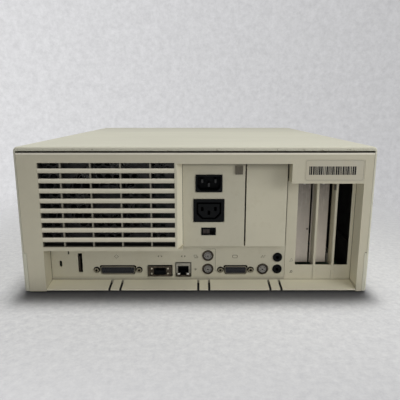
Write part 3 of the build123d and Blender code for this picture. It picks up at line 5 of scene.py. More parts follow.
import bmesh
import bpy
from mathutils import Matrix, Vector


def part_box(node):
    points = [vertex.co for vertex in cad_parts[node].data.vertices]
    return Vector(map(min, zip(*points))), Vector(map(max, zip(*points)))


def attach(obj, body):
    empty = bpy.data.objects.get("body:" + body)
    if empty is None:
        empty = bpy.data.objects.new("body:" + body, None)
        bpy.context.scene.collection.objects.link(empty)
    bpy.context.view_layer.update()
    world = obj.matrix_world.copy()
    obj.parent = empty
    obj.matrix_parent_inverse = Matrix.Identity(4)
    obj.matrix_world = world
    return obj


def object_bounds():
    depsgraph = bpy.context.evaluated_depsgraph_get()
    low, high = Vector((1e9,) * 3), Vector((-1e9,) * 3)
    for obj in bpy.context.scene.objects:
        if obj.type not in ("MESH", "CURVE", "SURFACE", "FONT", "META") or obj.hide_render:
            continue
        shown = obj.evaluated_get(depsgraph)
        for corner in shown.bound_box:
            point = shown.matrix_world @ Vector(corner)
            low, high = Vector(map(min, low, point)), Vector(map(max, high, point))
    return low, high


# Looks of a desktop computer case around its CAD frame. Blender units are metres. Sizes and
# places on the case are in millimetres, and become metres in the helpers that take them.

mm = 0.001
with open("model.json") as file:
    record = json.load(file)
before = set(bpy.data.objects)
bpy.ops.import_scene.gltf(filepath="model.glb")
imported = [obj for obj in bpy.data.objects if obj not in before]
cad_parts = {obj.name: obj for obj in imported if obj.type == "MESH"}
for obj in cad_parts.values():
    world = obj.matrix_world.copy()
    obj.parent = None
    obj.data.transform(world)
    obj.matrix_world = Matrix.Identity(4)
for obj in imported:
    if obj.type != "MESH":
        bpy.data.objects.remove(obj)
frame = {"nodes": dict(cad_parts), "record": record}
nodes = frame["nodes"]
cad_low, cad_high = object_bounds()


def box(node):
    """Lowest and highest corner of a CAD node, in millimetres."""
    low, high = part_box(node)
    return low / mm, high / mm


# Planes of the case that the finishes and the details go by.
rear = cad_low.y / mm
front = cad_high.y / mm
lid_top = cad_high.z / mm
cover_inside = cad_high.x / mm - 2.5
floor_inside = 4.6
surround_top = box("rear_frame")[1].z
grille_low, grille_high = box("vent_grille")
panel_low, panel_high = box("port_panel")
psu_low, psu_high = box("psu_panel")
bay_low, bay_high = box("expansion_frame")
port_face = panel_low.y
ledge_top = panel_low.z

# Bars of the grille: where the lowest one starts, their height and their pitch.
bar_start = 51.3
bar_height = 4.7
bar_pitch = 10.35


# ---- Camera, floor and light ------------------------------------------------------

camera_place = (3.7 * mm, -641.6 * mm, 193.1 * mm)
camera_turn = (math.radians(77.914), 0.0, math.radians(-0.131))
camera_lens = 38.45
floor_reach = 12.0

# The floor carries a painted shadow near the object, this wide and this dark, and runs out from
# fade_start on.
shadow_width = 44.0 * mm
shadow_level = 0.91
fade_start = 40.0 * mm
fade_end = 310.0 * mm

# Strength of each light, and of the backdrop towards its two sides.
sun_level = 0.645
side_level = 0.26
front_level = 3.2
rear_level = 3.5
sky_low = 0.18
sky_high = 0.20
backdrop_left = 0.72
backdrop_right = 0.54


def make_camera():
    """Camera at the photographed angle."""
    data = bpy.data.cameras.new("camera")
    data.sensor_width = 36.0
    data.lens = camera_lens
    data.clip_start = 0.01
    data.clip_end = 50.0
    camera = bpy.data.objects.new("camera", data)
    camera.location = camera_place
    camera.rotation_euler = camera_turn
    bpy.context.scene.collection.objects.link(camera)
    bpy.context.scene.camera = camera


def make_floor():
    """Large floor with a painted shadow next to the object, which is not part of the object."""
    mesh = bpy.data.meshes.new("floor")
    corners = [
        (-floor_reach, -floor_reach, 0),
        (floor_reach, -floor_reach, 0),
        (floor_reach, floor_reach, 0),
        (-floor_reach, floor_reach, 0),
    ]
    mesh.from_pydata(corners, [], [(0, 1, 2, 3)])
    floor = bpy.data.objects.new("floor", mesh)
    bpy.context.scene.collection.objects.link(floor)
    mesh.materials.append(floor_material())


def aim_lamp(name, data, spot, aim):
    """Put a lamp at a spot, shining along aim."""
    lamp = bpy.data.objects.new(name, data)
    lamp.location = spot
    lamp.rotation_mode = "QUATERNION"
    lamp.rotation_quaternion = aim.to_track_quat("-Z", "Y")
    lamp.visible_camera = False
    bpy.context.scene.collection.objects.link(lamp)


def make_sun():
    """Soft sun from above and behind."""
    sun = bpy.data.lights.new("key", "SUN")
    sun.energy = sun_level * math.pi
    sun.angle = math.radians(17)
    aim_lamp("key", sun, Vector((0.0, 0.0, 2.0)), Vector((-0.06, -0.18, -1.0)))


def make_lamp(name, level, size, spot, target, spread=180):
    """Square lamp at a spot, aimed at a target, in metres, with its beam's spread in degrees."""
    data = bpy.data.lights.new(name, "AREA")
    data.energy = level
    data.size = size
    data.spread = math.radians(spread)
    aim_lamp(name, data, Vector(spot), Vector(target) - Vector(spot))


def make_light():
    """Sun, low lamps at the side, in front and behind, and the world."""
    make_sun()
    make_lamp("side", side_level, 0.35, spot=(0.55, -0.52, 0.30), target=(0.10, -0.2, 0.12), spread=70)
    make_lamp("front", front_level, 0.8, spot=(0.0, -1.6, 0.25), target=(0.0, -0.2, 0.08))
    make_lamp("rear", rear_level, 0.8, spot=(-1.3, 1.3, 0.30), target=(0.0, 0.2, 0.08))
    make_world()


def sky_light(tree, direction):
    """Even white light, a little stronger from overhead."""
    height = add(tree, "ShaderNodeSeparateXYZ", {0: direction}).outputs["Z"]
    bend = math_node(tree, "POWER", between(tree, height, 0.0, 1.0, 1.0, 0.0), 1.5)
    glow = math_node(tree, "MULTIPLY_ADD", bend, sky_low - sky_high, sky_high)
    white = {"Color": (1.0, 1.0, 1.0, 1.0), "Strength": glow}
    return add(tree, "ShaderNodeBackground", white).outputs[0]


def backdrop(tree, direction):
    """Pale backdrop with a fine grain, darker towards the right."""
    across = add(tree, "ShaderNodeSeparateXYZ", {0: direction}).outputs["X"]
    pale = between(tree, across, -0.4, 0.4, backdrop_left, backdrop_right)
    fine = {"Vector": direction, "Scale": 90.0, "Detail": 4.0, "Roughness": 0.8}
    grain = add(tree, "ShaderNodeTexNoise", fine).outputs["Fac"]
    pale = math_node(tree, "MULTIPLY", pale, between(tree, grain, 0.3, 0.7, 0.90, 1.10))
    cool = {"Color": (1.0, 1.0, 1.02, 1.0), "Strength": pale}
    return add(tree, "ShaderNodeBackground", cool).outputs[0]


def make_world():
    """The backdrop where it is seen, reflected or seen through, and sky light elsewhere."""
    world = bpy.data.worlds.new("sky")
    bpy.context.scene.world = world
    world.use_nodes = True
    tree = world.node_tree
    tree.nodes.clear()
    direction = add(tree, "ShaderNodeTexCoord").outputs["Generated"]
    rays = add(tree, "ShaderNodeLightPath")
    seen = rays.outputs["Is Camera Ray"]
    for kind in ("Is Glossy Ray", "Is Transmission Ray"):
        seen = math_node(tree, "MAXIMUM", seen, rays.outputs[kind])
    layers = {0: seen, 1: sky_light(tree, direction), 2: backdrop(tree, direction)}
    both = add(tree, "ShaderNodeMixShader", layers)
    add(tree, "ShaderNodeOutputWorld", {"Surface": both.outputs[0]})


# ---- Node helpers -----------------------------------------------------------------


def add(tree, kind, inputs=None, **settings):
    """New node with its settings, and inputs given as values or as sockets to link."""
    made = tree.nodes.new(kind)
    for key, value in settings.items():
        setattr(made, key, value)
    for key, value in (inputs or {}).items():
        if isinstance(value, bpy.types.NodeSocket):
            tree.links.new(value, made.inputs[key])
        else:
            made.inputs[key].default_value = value
    return made


def math_node(tree, operation, *inputs):
    """Output of a Math node."""
    return add(tree, "ShaderNodeMath", dict(enumerate(inputs)), operation=operation).outputs[0]


def vector_math(tree, operation, *inputs):
    """Outputs of a Vector Math node."""
    return add(tree, "ShaderNodeVectorMath", dict(enumerate(inputs)), operation=operation).outputs


def place(tree, scale=(1, 1, 1)):
    """Position on the object in metres, stretched by scale."""
    coords = add(tree, "ShaderNodeTexCoord").outputs["Object"]
    if scale == (1, 1, 1):
        return coords
    return add(tree, "ShaderNodeMapping", {"Vector": coords, "Scale": scale}).outputs[0]


def position(tree):
    """Outputs X, Y and Z of the position on the object, in metres."""
    return add(tree, "ShaderNodeSeparateXYZ", {0: place(tree)}).outputs


def off_middle(tree):
    """Distance to the left or right of the object's middle, in metres."""
    return math_node(tree, "ABSOLUTE", position(tree)["X"])


def between(tree, value, low, high, start=0.0, end=1.0, smooth=False):
    """Value mapped from low..high to start..end, and held there."""
    inputs = {0: value, 1: low, 2: high, 3: start, 4: end}
    kind = "SMOOTHERSTEP" if smooth else "LINEAR"
    return add(tree, "ShaderNodeMapRange", inputs, interpolation_type=kind).outputs[0]


def noise(tree, size, detail=3.0, roughness=0.55, stretch=(1, 1, 1)):
    """Noise from 0 to 1 whose blotches are about size across, in millimetres."""
    inputs = {
        "Vector": place(tree, stretch),
        "Scale": 1.0 / (size * mm),
        "Detail": detail,
        "Roughness": roughness,
    }
    return add(tree, "ShaderNodeTexNoise", inputs).outputs["Fac"]


def patches(tree, size, low, high, **grain):
    """Noise of this size as patches: 0 below its low level and 1 above its high one."""
    return between(tree, noise(tree, size, **grain), low, high)


def cells(tree, size, randomness, **settings):
    """Outputs of a cell pattern whose cells are about size across, in millimetres."""
    inputs = {"Vector": place(tree), "Scale": 1.0 / (size * mm), "Randomness": randomness}
    return add(tree, "ShaderNodeTexVoronoi", inputs, feature="F1", **settings).outputs


def zone(tree, *edges, amount=1.0):
    """Amount inside a zone and 0 outside it.

    Each edge is (axis, where the zone begins, where it is full), in millimetres.
    """
    spot = position(tree)
    for axis, begins, full in edges:
        part = between(tree, spot[axis], begins * mm, full * mm)
        amount = math_node(tree, "MULTIPLY", amount, part)
    return amount


def blend_colours(tree, factor, first, second):
    """Mix of two colours, given as tuples or sockets."""
    made = add(tree, "ShaderNodeMix", {0: factor}, data_type="RGBA", blend_type="MIX")
    for index, value in ((6, first), (7, second)):
        if isinstance(value, bpy.types.NodeSocket):
            tree.links.new(value, made.inputs[index])
        else:
            made.inputs[index].default_value = (*value, 1.0)
    return made.outputs[2]


def layer(tree, tone, colour, mask, strength=1.0):
    """Tone under a layer of colour, as strong as strength where the mask is 1."""
    return blend_colours(tree, math_node(tree, "MULTIPLY", mask, strength), tone, colour)


def bump(tree, height, distance, strength=1.0, normal=None):
    """Normal raised by height times distance, in millimetres."""
    inputs = {"Height": height, "Distance": distance * mm, "Strength": strength}
    if normal is not None:
        inputs["Normal"] = normal
    return add(tree, "ShaderNodeBump", inputs).outputs[0]


def edge_mask(tree, radius):
    """1 on the edges of the mesh and 0 on its flats."""
    rounded = add(tree, "ShaderNodeBevel", {"Radius": radius * mm}, samples=4).outputs[0]
    flat = add(tree, "ShaderNodeNewGeometry").outputs["Normal"]
    alike = vector_math(tree, "DOT_PRODUCT", rounded, flat)["Value"]
    return between(tree, alike, 0.995, 0.90)


def shader(tree, inputs):
    """Principled shader with an output, as the end of a material."""
    surface = add(tree, "ShaderNodeBsdfPrincipled", inputs)
    add(tree, "ShaderNodeOutputMaterial", {"Surface": surface.outputs[0]})


def new_tree(name):
    """Empty material and its node tree."""
    material = bpy.data.materials.new(name)
    material.use_nodes = True
    material.node_tree.nodes.clear()
    return material, material.node_tree


def shade(colour, level):
    """Colour made lighter or darker by a factor."""
    return tuple(min(1.0, part * level) for part in colour)


def tinted(colour, red, green, blue):
    """Colour with a factor for each of its parts."""
    return (colour[0] * red, colour[1] * green, colour[2] * blue)


def lifted(colour, step):
    """Colour with the same step added to each of its parts."""
    return tuple(part + step for part in colour)


# ---- Painted light and shade, and wear, in their places ---------------------------

# Pale cream of the painted light on the grille's bevel and the bay's walls.
painted_light_cream = (0.93, 0.88, 0.70)


def painted_inside_shade(tree, tone):
    """Tone, with painted shade in dark streaks on the surfaces that face the inside of the case."""
    outer = (cover_inside + 0.6) * mm
    between_sides = between(tree, off_middle(tree), outer, outer - 0.3 * mm)
    inside = zone(
        tree,
        ("Y", rear + 34.0, rear + 34.6),
        ("Y", front - 3.8, front - 4.2),
        ("Z", lid_top - 2.0, lid_top - 2.3),
        ("Z", floor_inside, floor_inside + 0.6),
        amount=between_sides,
    )
    streaks = patches(tree, 14, 0.35, 0.70, detail=4.0, roughness=0.7)
    # Painted shade: dark streaks inside the case.
    inside_shade = blend_colours(tree, streaks, (0.035, 0.034, 0.032), (0.085, 0.082, 0.076))
    return blend_colours(tree, inside, tone, inside_shade)


def stain(tree, tone, middle, size, colour=(0.03, 0.027, 0.02)):
    """Tone with a small soft-edged stain around a point, size across on each axis."""
    centre = tuple(part * mm for part in middle)
    widen = tuple(2.0 / (part * mm) for part in size)
    off = vector_math(tree, "SUBTRACT", place(tree), centre)[0]
    wide = vector_math(tree, "MULTIPLY", off, widen)[0]
    reach = vector_math(tree, "LENGTH", wide)["Value"]
    return blend_colours(tree, between(tree, reach, 1.2, 0.6), tone, colour)


def bar_light(tree, tone):
    """Tone, with a painted highlight along the top of each grille bar and painted shade along its
    bottom.
    """
    share = bar_height / bar_pitch
    foot = 1.0 - share
    height = position(tree)["Z"]
    rows = math_node(tree, "MULTIPLY_ADD", height, 1.0 / (bar_pitch * mm), -bar_start / bar_pitch)
    along = math_node(tree, "FRACT", rows)
    bright = between(tree, along, foot + 0.45 * share, foot + 0.80 * share)
    dark = between(tree, along, foot + 0.30 * share, foot)
    # Painted highlight on each bar's top, painted shade under it.
    tone = layer(tree, tone, (0.92, 0.87, 0.71), bright, 0.6)
    return layer(tree, tone, (0.34, 0.31, 0.24), dark, 0.35)


def surround_rim(tree, tone):
    """Tone, with a painted highlight along the top of the rear surround and painted shade where the lid
    meets it.
    """
    rub_and_highlight = zone(tree, ("Z", surround_top - 2.5, surround_top - 2.0), ("Y", rear + 1.8, rear + 1.1))
    seam_shade = zone(tree, ("Z", surround_top - 0.9, surround_top - 0.5), ("Y", rear + 1.7, rear + 1.2))
    # Painted highlight along the rim, then painted shade in the seam under the lid.
    tone = blend_colours(tree, rub_and_highlight, tone, (0.93, 0.89, 0.74))
    return blend_colours(tree, seam_shade, tone, (0.030, 0.028, 0.020))


def grille_depth(tree, tone):
    """Tone, with painted shade that grows darker the deeper it lies behind the grille."""
    window = (
        ("X", grille_low.x - 0.6, grille_low.x - 0.1),
        ("X", grille_high.x + 0.3, grille_high.x - 0.1),
        ("Z", psu_low.z + 0.2, psu_low.z + 0.6),
        ("Z", grille_high.z + 0.25, grille_high.z - 0.25),
    )
    shallow = zone(tree, *window, ("Y", rear + 0.7, rear + 2.4))
    deep = zone(tree, *window, ("Y", rear + 2.6, rear + 6.0))
    tone = blend_colours(tree, shallow, tone, (0.17, 0.158, 0.125))
    return blend_colours(tree, deep, tone, (0.020, 0.019, 0.017))


def ledge_light(tree, tone):
    """Tone, with painted light on the ledge under the ports."""
    ledge = zone(
        tree,
        ("X", panel_low.x - 0.2, panel_low.x + 0.2),
        ("X", bay_high.x + 0.2, bay_high.x - 0.2),
        ("Y", port_face - 0.2, port_face - 0.8),
        ("Z", ledge_top + 0.5, ledge_top - 0.1),
    )
    return layer(tree, tone, (0.93, 0.88, 0.69), ledge, 0.9)


def bevel_light(tree, tone, sideways):
    """Tone, with painted light on the bevel at the right of the grille."""
    middle = -18.0
    bevel = zone(
        tree,
        ("X", middle - 6.0, middle - 5.0),
        ("X", middle + 6.0, middle + 5.0),
        amount=between(tree, sideways, 0.25, 0.45),
    )
    return layer(tree, tone, painted_light_cream, bevel, 0.8)


def bay_light(tree, tone, sheer):
    """Tone, with painted light on the side walls of the expansion bay."""
    walls = zone(
        tree,
        ("X", bay_low.x - 0.2, bay_low.x + 1.8),
        ("X", bay_high.x + 5.1, bay_high.x + 4.1),
        ("Y", port_face + 1.5, port_face + 0.5),
        ("Z", ledge_top + 0.5, ledge_top + 1.5),
        amount=sheer,
    )
    return layer(tree, tone, painted_light_cream, walls, 0.75)


def slit_shade(tree, tone, sheer):
    """Tone, with black painted shade on the walls of the slits in the ledge."""
    reach = 139.0
    slits = zone(
        tree,
        ("X", -reach - 1.0, -reach + 1.0),
        ("X", reach + 1.0, reach - 1.0),
        ("Y", port_face - 0.2, port_face - 0.6),
        ("Z", ledge_top + 0.1, ledge_top - 0.3),
        amount=sheer,
    )
    return blend_colours(tree, slits, tone, (0.030, 0.028, 0.022))


def rear_painted_light(tree, tone):
    """Tone of the frame's plastic with painted light and painted shade on its rear side."""
    facing = add(tree, "ShaderNodeTexCoord").outputs["Normal"]
    sideways = add(tree, "ShaderNodeSeparateXYZ", {0: facing}).outputs["X"]
    sheer = between(tree, math_node(tree, "MULTIPLY", sideways, sideways), 0.7, 0.9)
    tone = surround_rim(tree, tone)
    tone = grille_depth(tree, tone)
    tone = ledge_light(tree, tone)
    tone = bevel_light(tree, tone, sideways)
    tone = bay_light(tree, tone, sheer)
    return slit_shade(tree, tone, sheer)


def chipped_lip(tree, tone, dirt):
    """Tone of the lid with grimy chips along its rear lip."""
    lip = zone(
        tree,
        ("Y", rear + 3.0, rear + 0.4),
        ("Z", lid_top - 1.6, lid_top - 3.6),
        ("Z", lid_top - 5.0, lid_top - 4.4),
        amount=patches(tree, 5.0, 0.56, 0.62, detail=5.0, roughness=0.75),
    )
    return layer(tree, tone, dirt, lip, 0.8)


# ---- Materials --------------------------------------------------------------------


def distance_outside(tree):
    """Distance on the floor from the object's footprint."""
    half = (cad_high - cad_low) / 2
    flat = vector_math(tree, "ABSOLUTE", place(tree))[0]
    past = vector_math(tree, "SUBTRACT", flat, (half.x, half.y, 1.0))[0]
    kept = vector_math(tree, "MAXIMUM", past, (0.0, 0.0, 0.0))[0]
    return vector_math(tree, "LENGTH", kept)["Value"]


def floor_material():
    """Pale sheet with a faint grain and a painted shadow next to the object, which runs out into the
    backdrop around the object.
    """
    material, tree = new_tree("floor_sheet")
    grain = patches(tree, 7.0, 0.3, 0.7, detail=4.0, roughness=0.8)
    tone = blend_colours(tree, grain, (0.56, 0.56, 0.57), (0.73, 0.73, 0.725))
    away = distance_outside(tree)
    # Painted shadow round the footprint, weaker beside the object than in front and behind.
    painted_shadow = between(tree, away, 0.0, shadow_width, shadow_level, 0.0, smooth=True)
    beside = between(tree, off_middle(tree), 172.0 * mm, 200.0 * mm, 1.0, 0.15, smooth=True)
    tone = layer(tree, tone, (0.10, 0.10, 0.105), painted_shadow, beside)
    inputs = {
        "Base Color": tone,
        "Roughness": 0.9,
        "Specular IOR Level": 0.1,
        "Alpha": between(tree, away, fade_start, fade_end, 1.0, 0.0, smooth=True),
    }
    shader(tree, inputs)
    return material


def plastic(name, colour, worn=0.5, light_painted=False, barred=False, stains=()):
    """Moulded plastic: fine grain, uneven ageing, worn and grimy edges."""
    material, tree = new_tree(name)
    ageing = patches(tree, 120, 0.35, 0.65, detail=2.0)
    tone = blend_colours(tree, ageing, shade(colour, 0.965), colour)
    mottle = patches(tree, 9, 0.42, 0.72, detail=4.0, roughness=0.65)
    tone = layer(tree, tone, shade(colour, 0.90), mottle, 0.30)
    patchy = patches(tree, 14, 0.45, 0.68, detail=4.0, roughness=0.7)
    rub_and_highlight = math_node(tree, "MULTIPLY", edge_mask(tree, 0.9), patchy)
    tone = layer(tree, tone, shade(colour, 1.12), rub_and_highlight, 0.35 * worn)
    specks = patches(tree, 1.6, 0.735, 0.77, detail=2.0)
    tone = layer(tree, tone, tinted(colour, 0.33, 0.30, 0.26), specks, 0.30 * worn)
    if barred:
        tone = bar_light(tree, tone)
    for middle, size in stains:
        tone = stain(tree, tone, middle, size)
    # Painted shade inside the case, and painted light and shade on the rear side.
    if light_painted:
        tone = rear_painted_light(tree, painted_inside_shade(tree, tone))
    inputs = {
        "Base Color": tone,
        "Roughness": between(tree, noise(tree, 30), 0.3, 0.7, 0.45, 0.57),
        "Normal": bump(tree, noise(tree, 0.5, detail=2.0), 0.012),
        "Specular IOR Level": 0.42,
    }
    shader(tree, inputs)
    return material


def lid_plastic(name, colour):
    """Cover plastic: as the frame's, with wipe marks, hair scratches and a chipped rear lip."""
    material, tree = new_tree(name)
    ageing = patches(tree, 150, 0.35, 0.65)
    tone = blend_colours(tree, ageing, shade(colour, 0.955), colour)
    wipes = patches(tree, 30, 0.45, 0.70, detail=4.0, roughness=0.6, stretch=(0.25, 1.0, 1.0))
    tone = layer(tree, tone, shade(colour, 1.07), wipes, 0.22)
    mottle = patches(tree, 8, 0.50, 0.75, detail=4.0, roughness=0.65)
    tone = layer(tree, tone, shade(colour, 0.90), mottle, 0.22)
    hairs = patches(tree, 1.0, 0.70, 0.76, roughness=0.6, stretch=(0.02, 1.0, 1.0))
    tone = layer(tree, tone, shade(colour, 1.2), hairs, 0.16)
    dirt = tinted(colour, 0.36, 0.31, 0.24)
    tone = chipped_lip(tree, tone, dirt)
    specks = patches(tree, 1.8, 0.74, 0.775, detail=2.0)
    tone = layer(tree, tone, dirt, specks, 0.18)
    # Painted shade over the far part of the lid.
    far = zone(tree, ("Y", 40.0, front))
    tone = layer(tree, tone, shade(colour, 0.60), far, 0.55)
    grain = bump(tree, noise(tree, 0.6, detail=2.0), 0.010)
    inputs = {
        "Base Color": painted_inside_shade(tree, tone),
        "Roughness": between(tree, wipes, 0.0, 1.0, 0.58, 0.50),
        "Normal": bump(tree, hairs, 0.01, 0.6, grain),
        "Specular IOR Level": 0.40,
    }
    shader(tree, inputs)
    return material


def painted_sheet(name, colour, shade_bands):
    """Paint on sheet steel with a faint orange peel.

    Each band of painted shade is its strength and the edges of its zone.
    """
    material, tree = new_tree(name)
    cloud = patches(tree, 45, 0.35, 0.7)
    tone = blend_colours(tree, cloud, shade(colour, 0.95), colour)
    smudge = patches(tree, 11, 0.52, 0.78, detail=4.0, roughness=0.7)
    soiled = tinted(colour, 0.72, 0.68, 0.60)
    tone = layer(tree, tone, soiled, smudge, 0.28)
    specks = patches(tree, 1.5, 0.73, 0.77, detail=2.0)
    tone = layer(tree, tone, shade(soiled, 0.5), specks, 0.35)
    # Bands of painted shade.
    for strength, *edges in shade_bands:
        tone = layer(tree, tone, shade(colour, 0.3), zone(tree, *edges), strength)
    tone = layer(tree, tone, shade(colour, 1.1), edge_mask(tree, 0.5), 0.25)
    inputs = {
        "Base Color": tone,
        "Roughness": 0.48,
        "Normal": bump(tree, noise(tree, 1.2, detail=2.0), 0.010),
        "Specular IOR Level": 0.4,
    }
    shader(tree, inputs)
    return material


def dark_plastic(name, colour, roughness=0.38, shine=0.45, dustiness=0.035, holed=None):
    """Dark moulding with dust in its grain, and black painted shade in the holes behind the face of a
    holed node.
    """
    material, tree = new_tree(name)
    dust = patches(tree, 3.0, 0.48, 0.80, detail=5.0, roughness=0.75)
    tone = layer(tree, colour, lifted(colour, dustiness), dust, 0.5)
    tone = layer(tree, tone, lifted(colour, 1.4 * dustiness), edge_mask(tree, 0.4), 0.5)
    if holed:
        face = box(holed)[0].y
        hole_shade = zone(tree, ("Y", face + 0.15, face + 0.45))
        tone = blend_colours(tree, hole_shade, tone, (0.003, 0.003, 0.003))
    inputs = {
        "Base Color": tone,
        "Roughness": between(tree, dust, 0.0, 1.0, roughness, roughness + 0.25),
        "Normal": bump(tree, noise(tree, 0.5, detail=2.0), 0.008),
        "Specular IOR Level": shine,
    }
    shader(tree, inputs)
    return material


def metal(name, colour, roughness, stretch=(1, 1, 1), tarnish=0.4, edge_light=0.3, shaded_behind=False):
    """Sheet or turned metal: brushed along one axis, tarnished in patches.

    Where asked, the metal is black behind the port panel's face, as painted shade round the ports.
    """
    material, tree = new_tree(name)
    tarnished = patches(tree, 12, 0.42, 0.72, detail=4.0, roughness=0.65)
    tone = layer(tree, colour, tinted(colour, 0.62, 0.58, 0.52), tarnished, tarnish)
    lines = noise(tree, 0.7, roughness=0.6, stretch=stretch)
    brushed = between(tree, lines, 0.3, 0.7, 0.0, 0.25)
    tone = blend_colours(tree, brushed, tone, shade(colour, 0.75))
    tone = layer(tree, tone, shade(colour, 1.35), edge_mask(tree, 0.35), edge_light)
    if shaded_behind:
        # Painted shade behind the port panel's face.
        behind = zone(tree, ("Y", port_face - 0.4, port_face + 0.2))
        tone = blend_colours(tree, behind, tone, (0.010, 0.009, 0.007))
    inputs = {
        "Base Color": tone,
        "Roughness": between(tree, lines, 0.25, 0.75, roughness - 0.08, roughness + 0.14),
        "Normal": bump(tree, lines, 0.006),
        "Metallic": 1.0,
    }
    shader(tree, inputs)
    return material


def post_brass(name, colour):
    """Turned posts: bright at the wide network port, dull elsewhere, with black painted shade in their
    holes.
    """
    material, tree = new_tree(name)
    marks = patches(tree, 2, 0.3, 0.7)
    tone = blend_colours(tree, marks, shade(colour, 0.8), colour)
    port_low, port_high = box("wide_network_port")
    left = zone(tree, ("X", port_low.x - 1.0, port_low.x - 2.0))
    right = zone(tree, ("X", port_high.x + 1.0, port_high.x + 2.0))
    tone = blend_colours(tree, math_node(tree, "ADD", left, right), tone, (0.30, 0.27, 0.19))
    tip = box("port_jackposts")[0].y
    hole_shade = zone(tree, ("Y", tip + 0.9, tip + 1.3))
    tone = blend_colours(tree, hole_shade, tone, (0.02, 0.018, 0.012))
    inputs = {
        "Base Color": tone,
        "Roughness": between(tree, marks, 0.0, 1.0, 0.24, 0.38),
        "Normal": bump(tree, marks, 0.01),
        "Metallic": 0.9,
    }
    shader(tree, inputs)
    return material


def shield_metal(name):
    """Sheet-metal faces of the ports: dark rings and plate, and a bright rim on the square one, whose
    face below that rim is dark as painted shade.
    """
    material, tree = new_tree(name)
    wear = patches(tree, 2.5, 0.35, 0.7, detail=4.0, roughness=0.7)
    rim = blend_colours(tree, wear, (0.22, 0.21, 0.175), (0.38, 0.36, 0.30))
    dark = blend_colours(tree, wear, (0.045, 0.036, 0.026), (0.12, 0.10, 0.075))
    socket_low, socket_high = box("network_socket")
    square = zone(
        tree,
        ("X", socket_low.x - 3.0, socket_low.x - 2.0),
        ("X", socket_high.x + 6.4, socket_high.x + 5.4),
        ("Z", socket_low.z + 4.3, socket_low.z + 4.7),
    )
    inputs = {
        "Base Color": blend_colours(tree, square, dark, rim),
        "Roughness": between(tree, wear, 0.0, 1.0, 0.28, 0.48),
        "Normal": bump(tree, wear, 0.01),
        "Metallic": 0.9,
    }
    shader(tree, inputs)
    return material


def bracket_steel(name, colour):
    """Dull plated blanking plates with painted shade towards their top, and stains."""
    material, tree = new_tree(name)
    top_shade = zone(tree, ("Z", 30.0, 112.0))
    tone = blend_colours(tree, top_shade, colour, shade(colour, 0.27))
    blotch = patches(tree, 7, 0.40, 0.72, detail=5.0, roughness=0.7)
    tone = layer(tree, tone, shade(colour, 0.65), blotch, 0.30)
    streaks = patches(tree, 1.2, 0.55, 0.75, roughness=0.6, stretch=(1.0, 1.0, 0.06))
    tone = layer(tree, tone, shade(colour, 1.25), streaks, 0.25)
    specks = patches(tree, 1.0, 0.72, 0.76, detail=2.0)
    tone = layer(tree, tone, shade(colour, 0.25), specks, 0.5)
    tone = stain(tree, tone, *plate_stain, colour=(0.16, 0.14, 0.11))
    normal = bump(tree, blotch, 0.02)
    inputs = {"Base Color": tone, "Roughness": 0.52, "Normal": normal, "Metallic": 0.1}
    shader(tree, inputs)
    return material


def case_zinc(name):
    """Zinc-plated sheet with its crystal pattern, black near the vent as painted shade."""
    material, tree = new_tree(name)
    crystals = cells(tree, 9.0, 1.0)["Color"]
    flake = add(tree, "ShaderNodeSeparateXYZ", {0: crystals}).outputs["X"]
    tone = blend_colours(tree, flake, (0.30, 0.305, 0.30), (0.44, 0.445, 0.44))
    dust = patches(tree, 18, 0.45, 0.75, detail=4.0, roughness=0.7)
    tone = layer(tree, tone, (0.20, 0.19, 0.17), dust, 0.3)
    vent_shade = zone(tree, ("Y", port_face + 11.0, port_face + 3.0))
    inputs = {
        "Base Color": blend_colours(tree, vent_shade, tone, (0.035, 0.034, 0.032)),
        "Roughness": between(tree, flake, 0.0, 1.0, 0.36, 0.52),
        "Normal": bump(tree, flake, 0.01),
        "Metallic": 0.75,
    }
    shader(tree, inputs)
    return material


def rubber(name, colour):
    """Matt rubber with a dusty bloom."""
    material, tree = new_tree(name)
    bloom = patches(tree, 4, 0.4, 0.75, detail=4.0, roughness=0.7)
    inputs = {
        "Base Color": layer(tree, colour, shade(colour, 1.9), bloom, 0.6),
        "Roughness": 0.85,
        "Normal": bump(tree, noise(tree, 0.5, detail=2.0), 0.03),
        "Specular IOR Level": 0.2,
    }
    shader(tree, inputs)
    return material


def circuit(name, colour):
    """Circuit board lacquer over copper tracks, with tinned pads in a grid."""
    material, tree = new_tree(name)
    contours = cells(tree, 5.0, 0.85, distance="MANHATTAN")["Distance"]
    tracks = math_node(tree, "FRACT", math_node(tree, "MULTIPLY", contours, 9.0))
    ridge = between(tree, tracks, 0.40, 0.55)
    tone = blend_colours(tree, ridge, shade(colour, 0.75), shade(colour, 1.45))
    pads = between(tree, cells(tree, 2.54, 0.15)["Distance"], 0.19, 0.15)
    tinned = math_node(tree, "MULTIPLY", pads, patches(tree, 26, 0.50, 0.56, detail=2.0))
    tone = blend_colours(tree, tinned, tone, (0.55, 0.54, 0.48))
    dust = patches(tree, 25, 0.45, 0.8, detail=4.0, roughness=0.7)
    inputs = {
        "Base Color": layer(tree, tone, (0.35, 0.34, 0.30), dust, 0.12),
        "Roughness": 0.38,
        "Normal": bump(tree, math_node(tree, "ADD", ridge, tinned), 0.03),
        "Metallic": math_node(tree, "MULTIPLY", tinned, 0.8),
    }
    shader(tree, inputs)
    return material


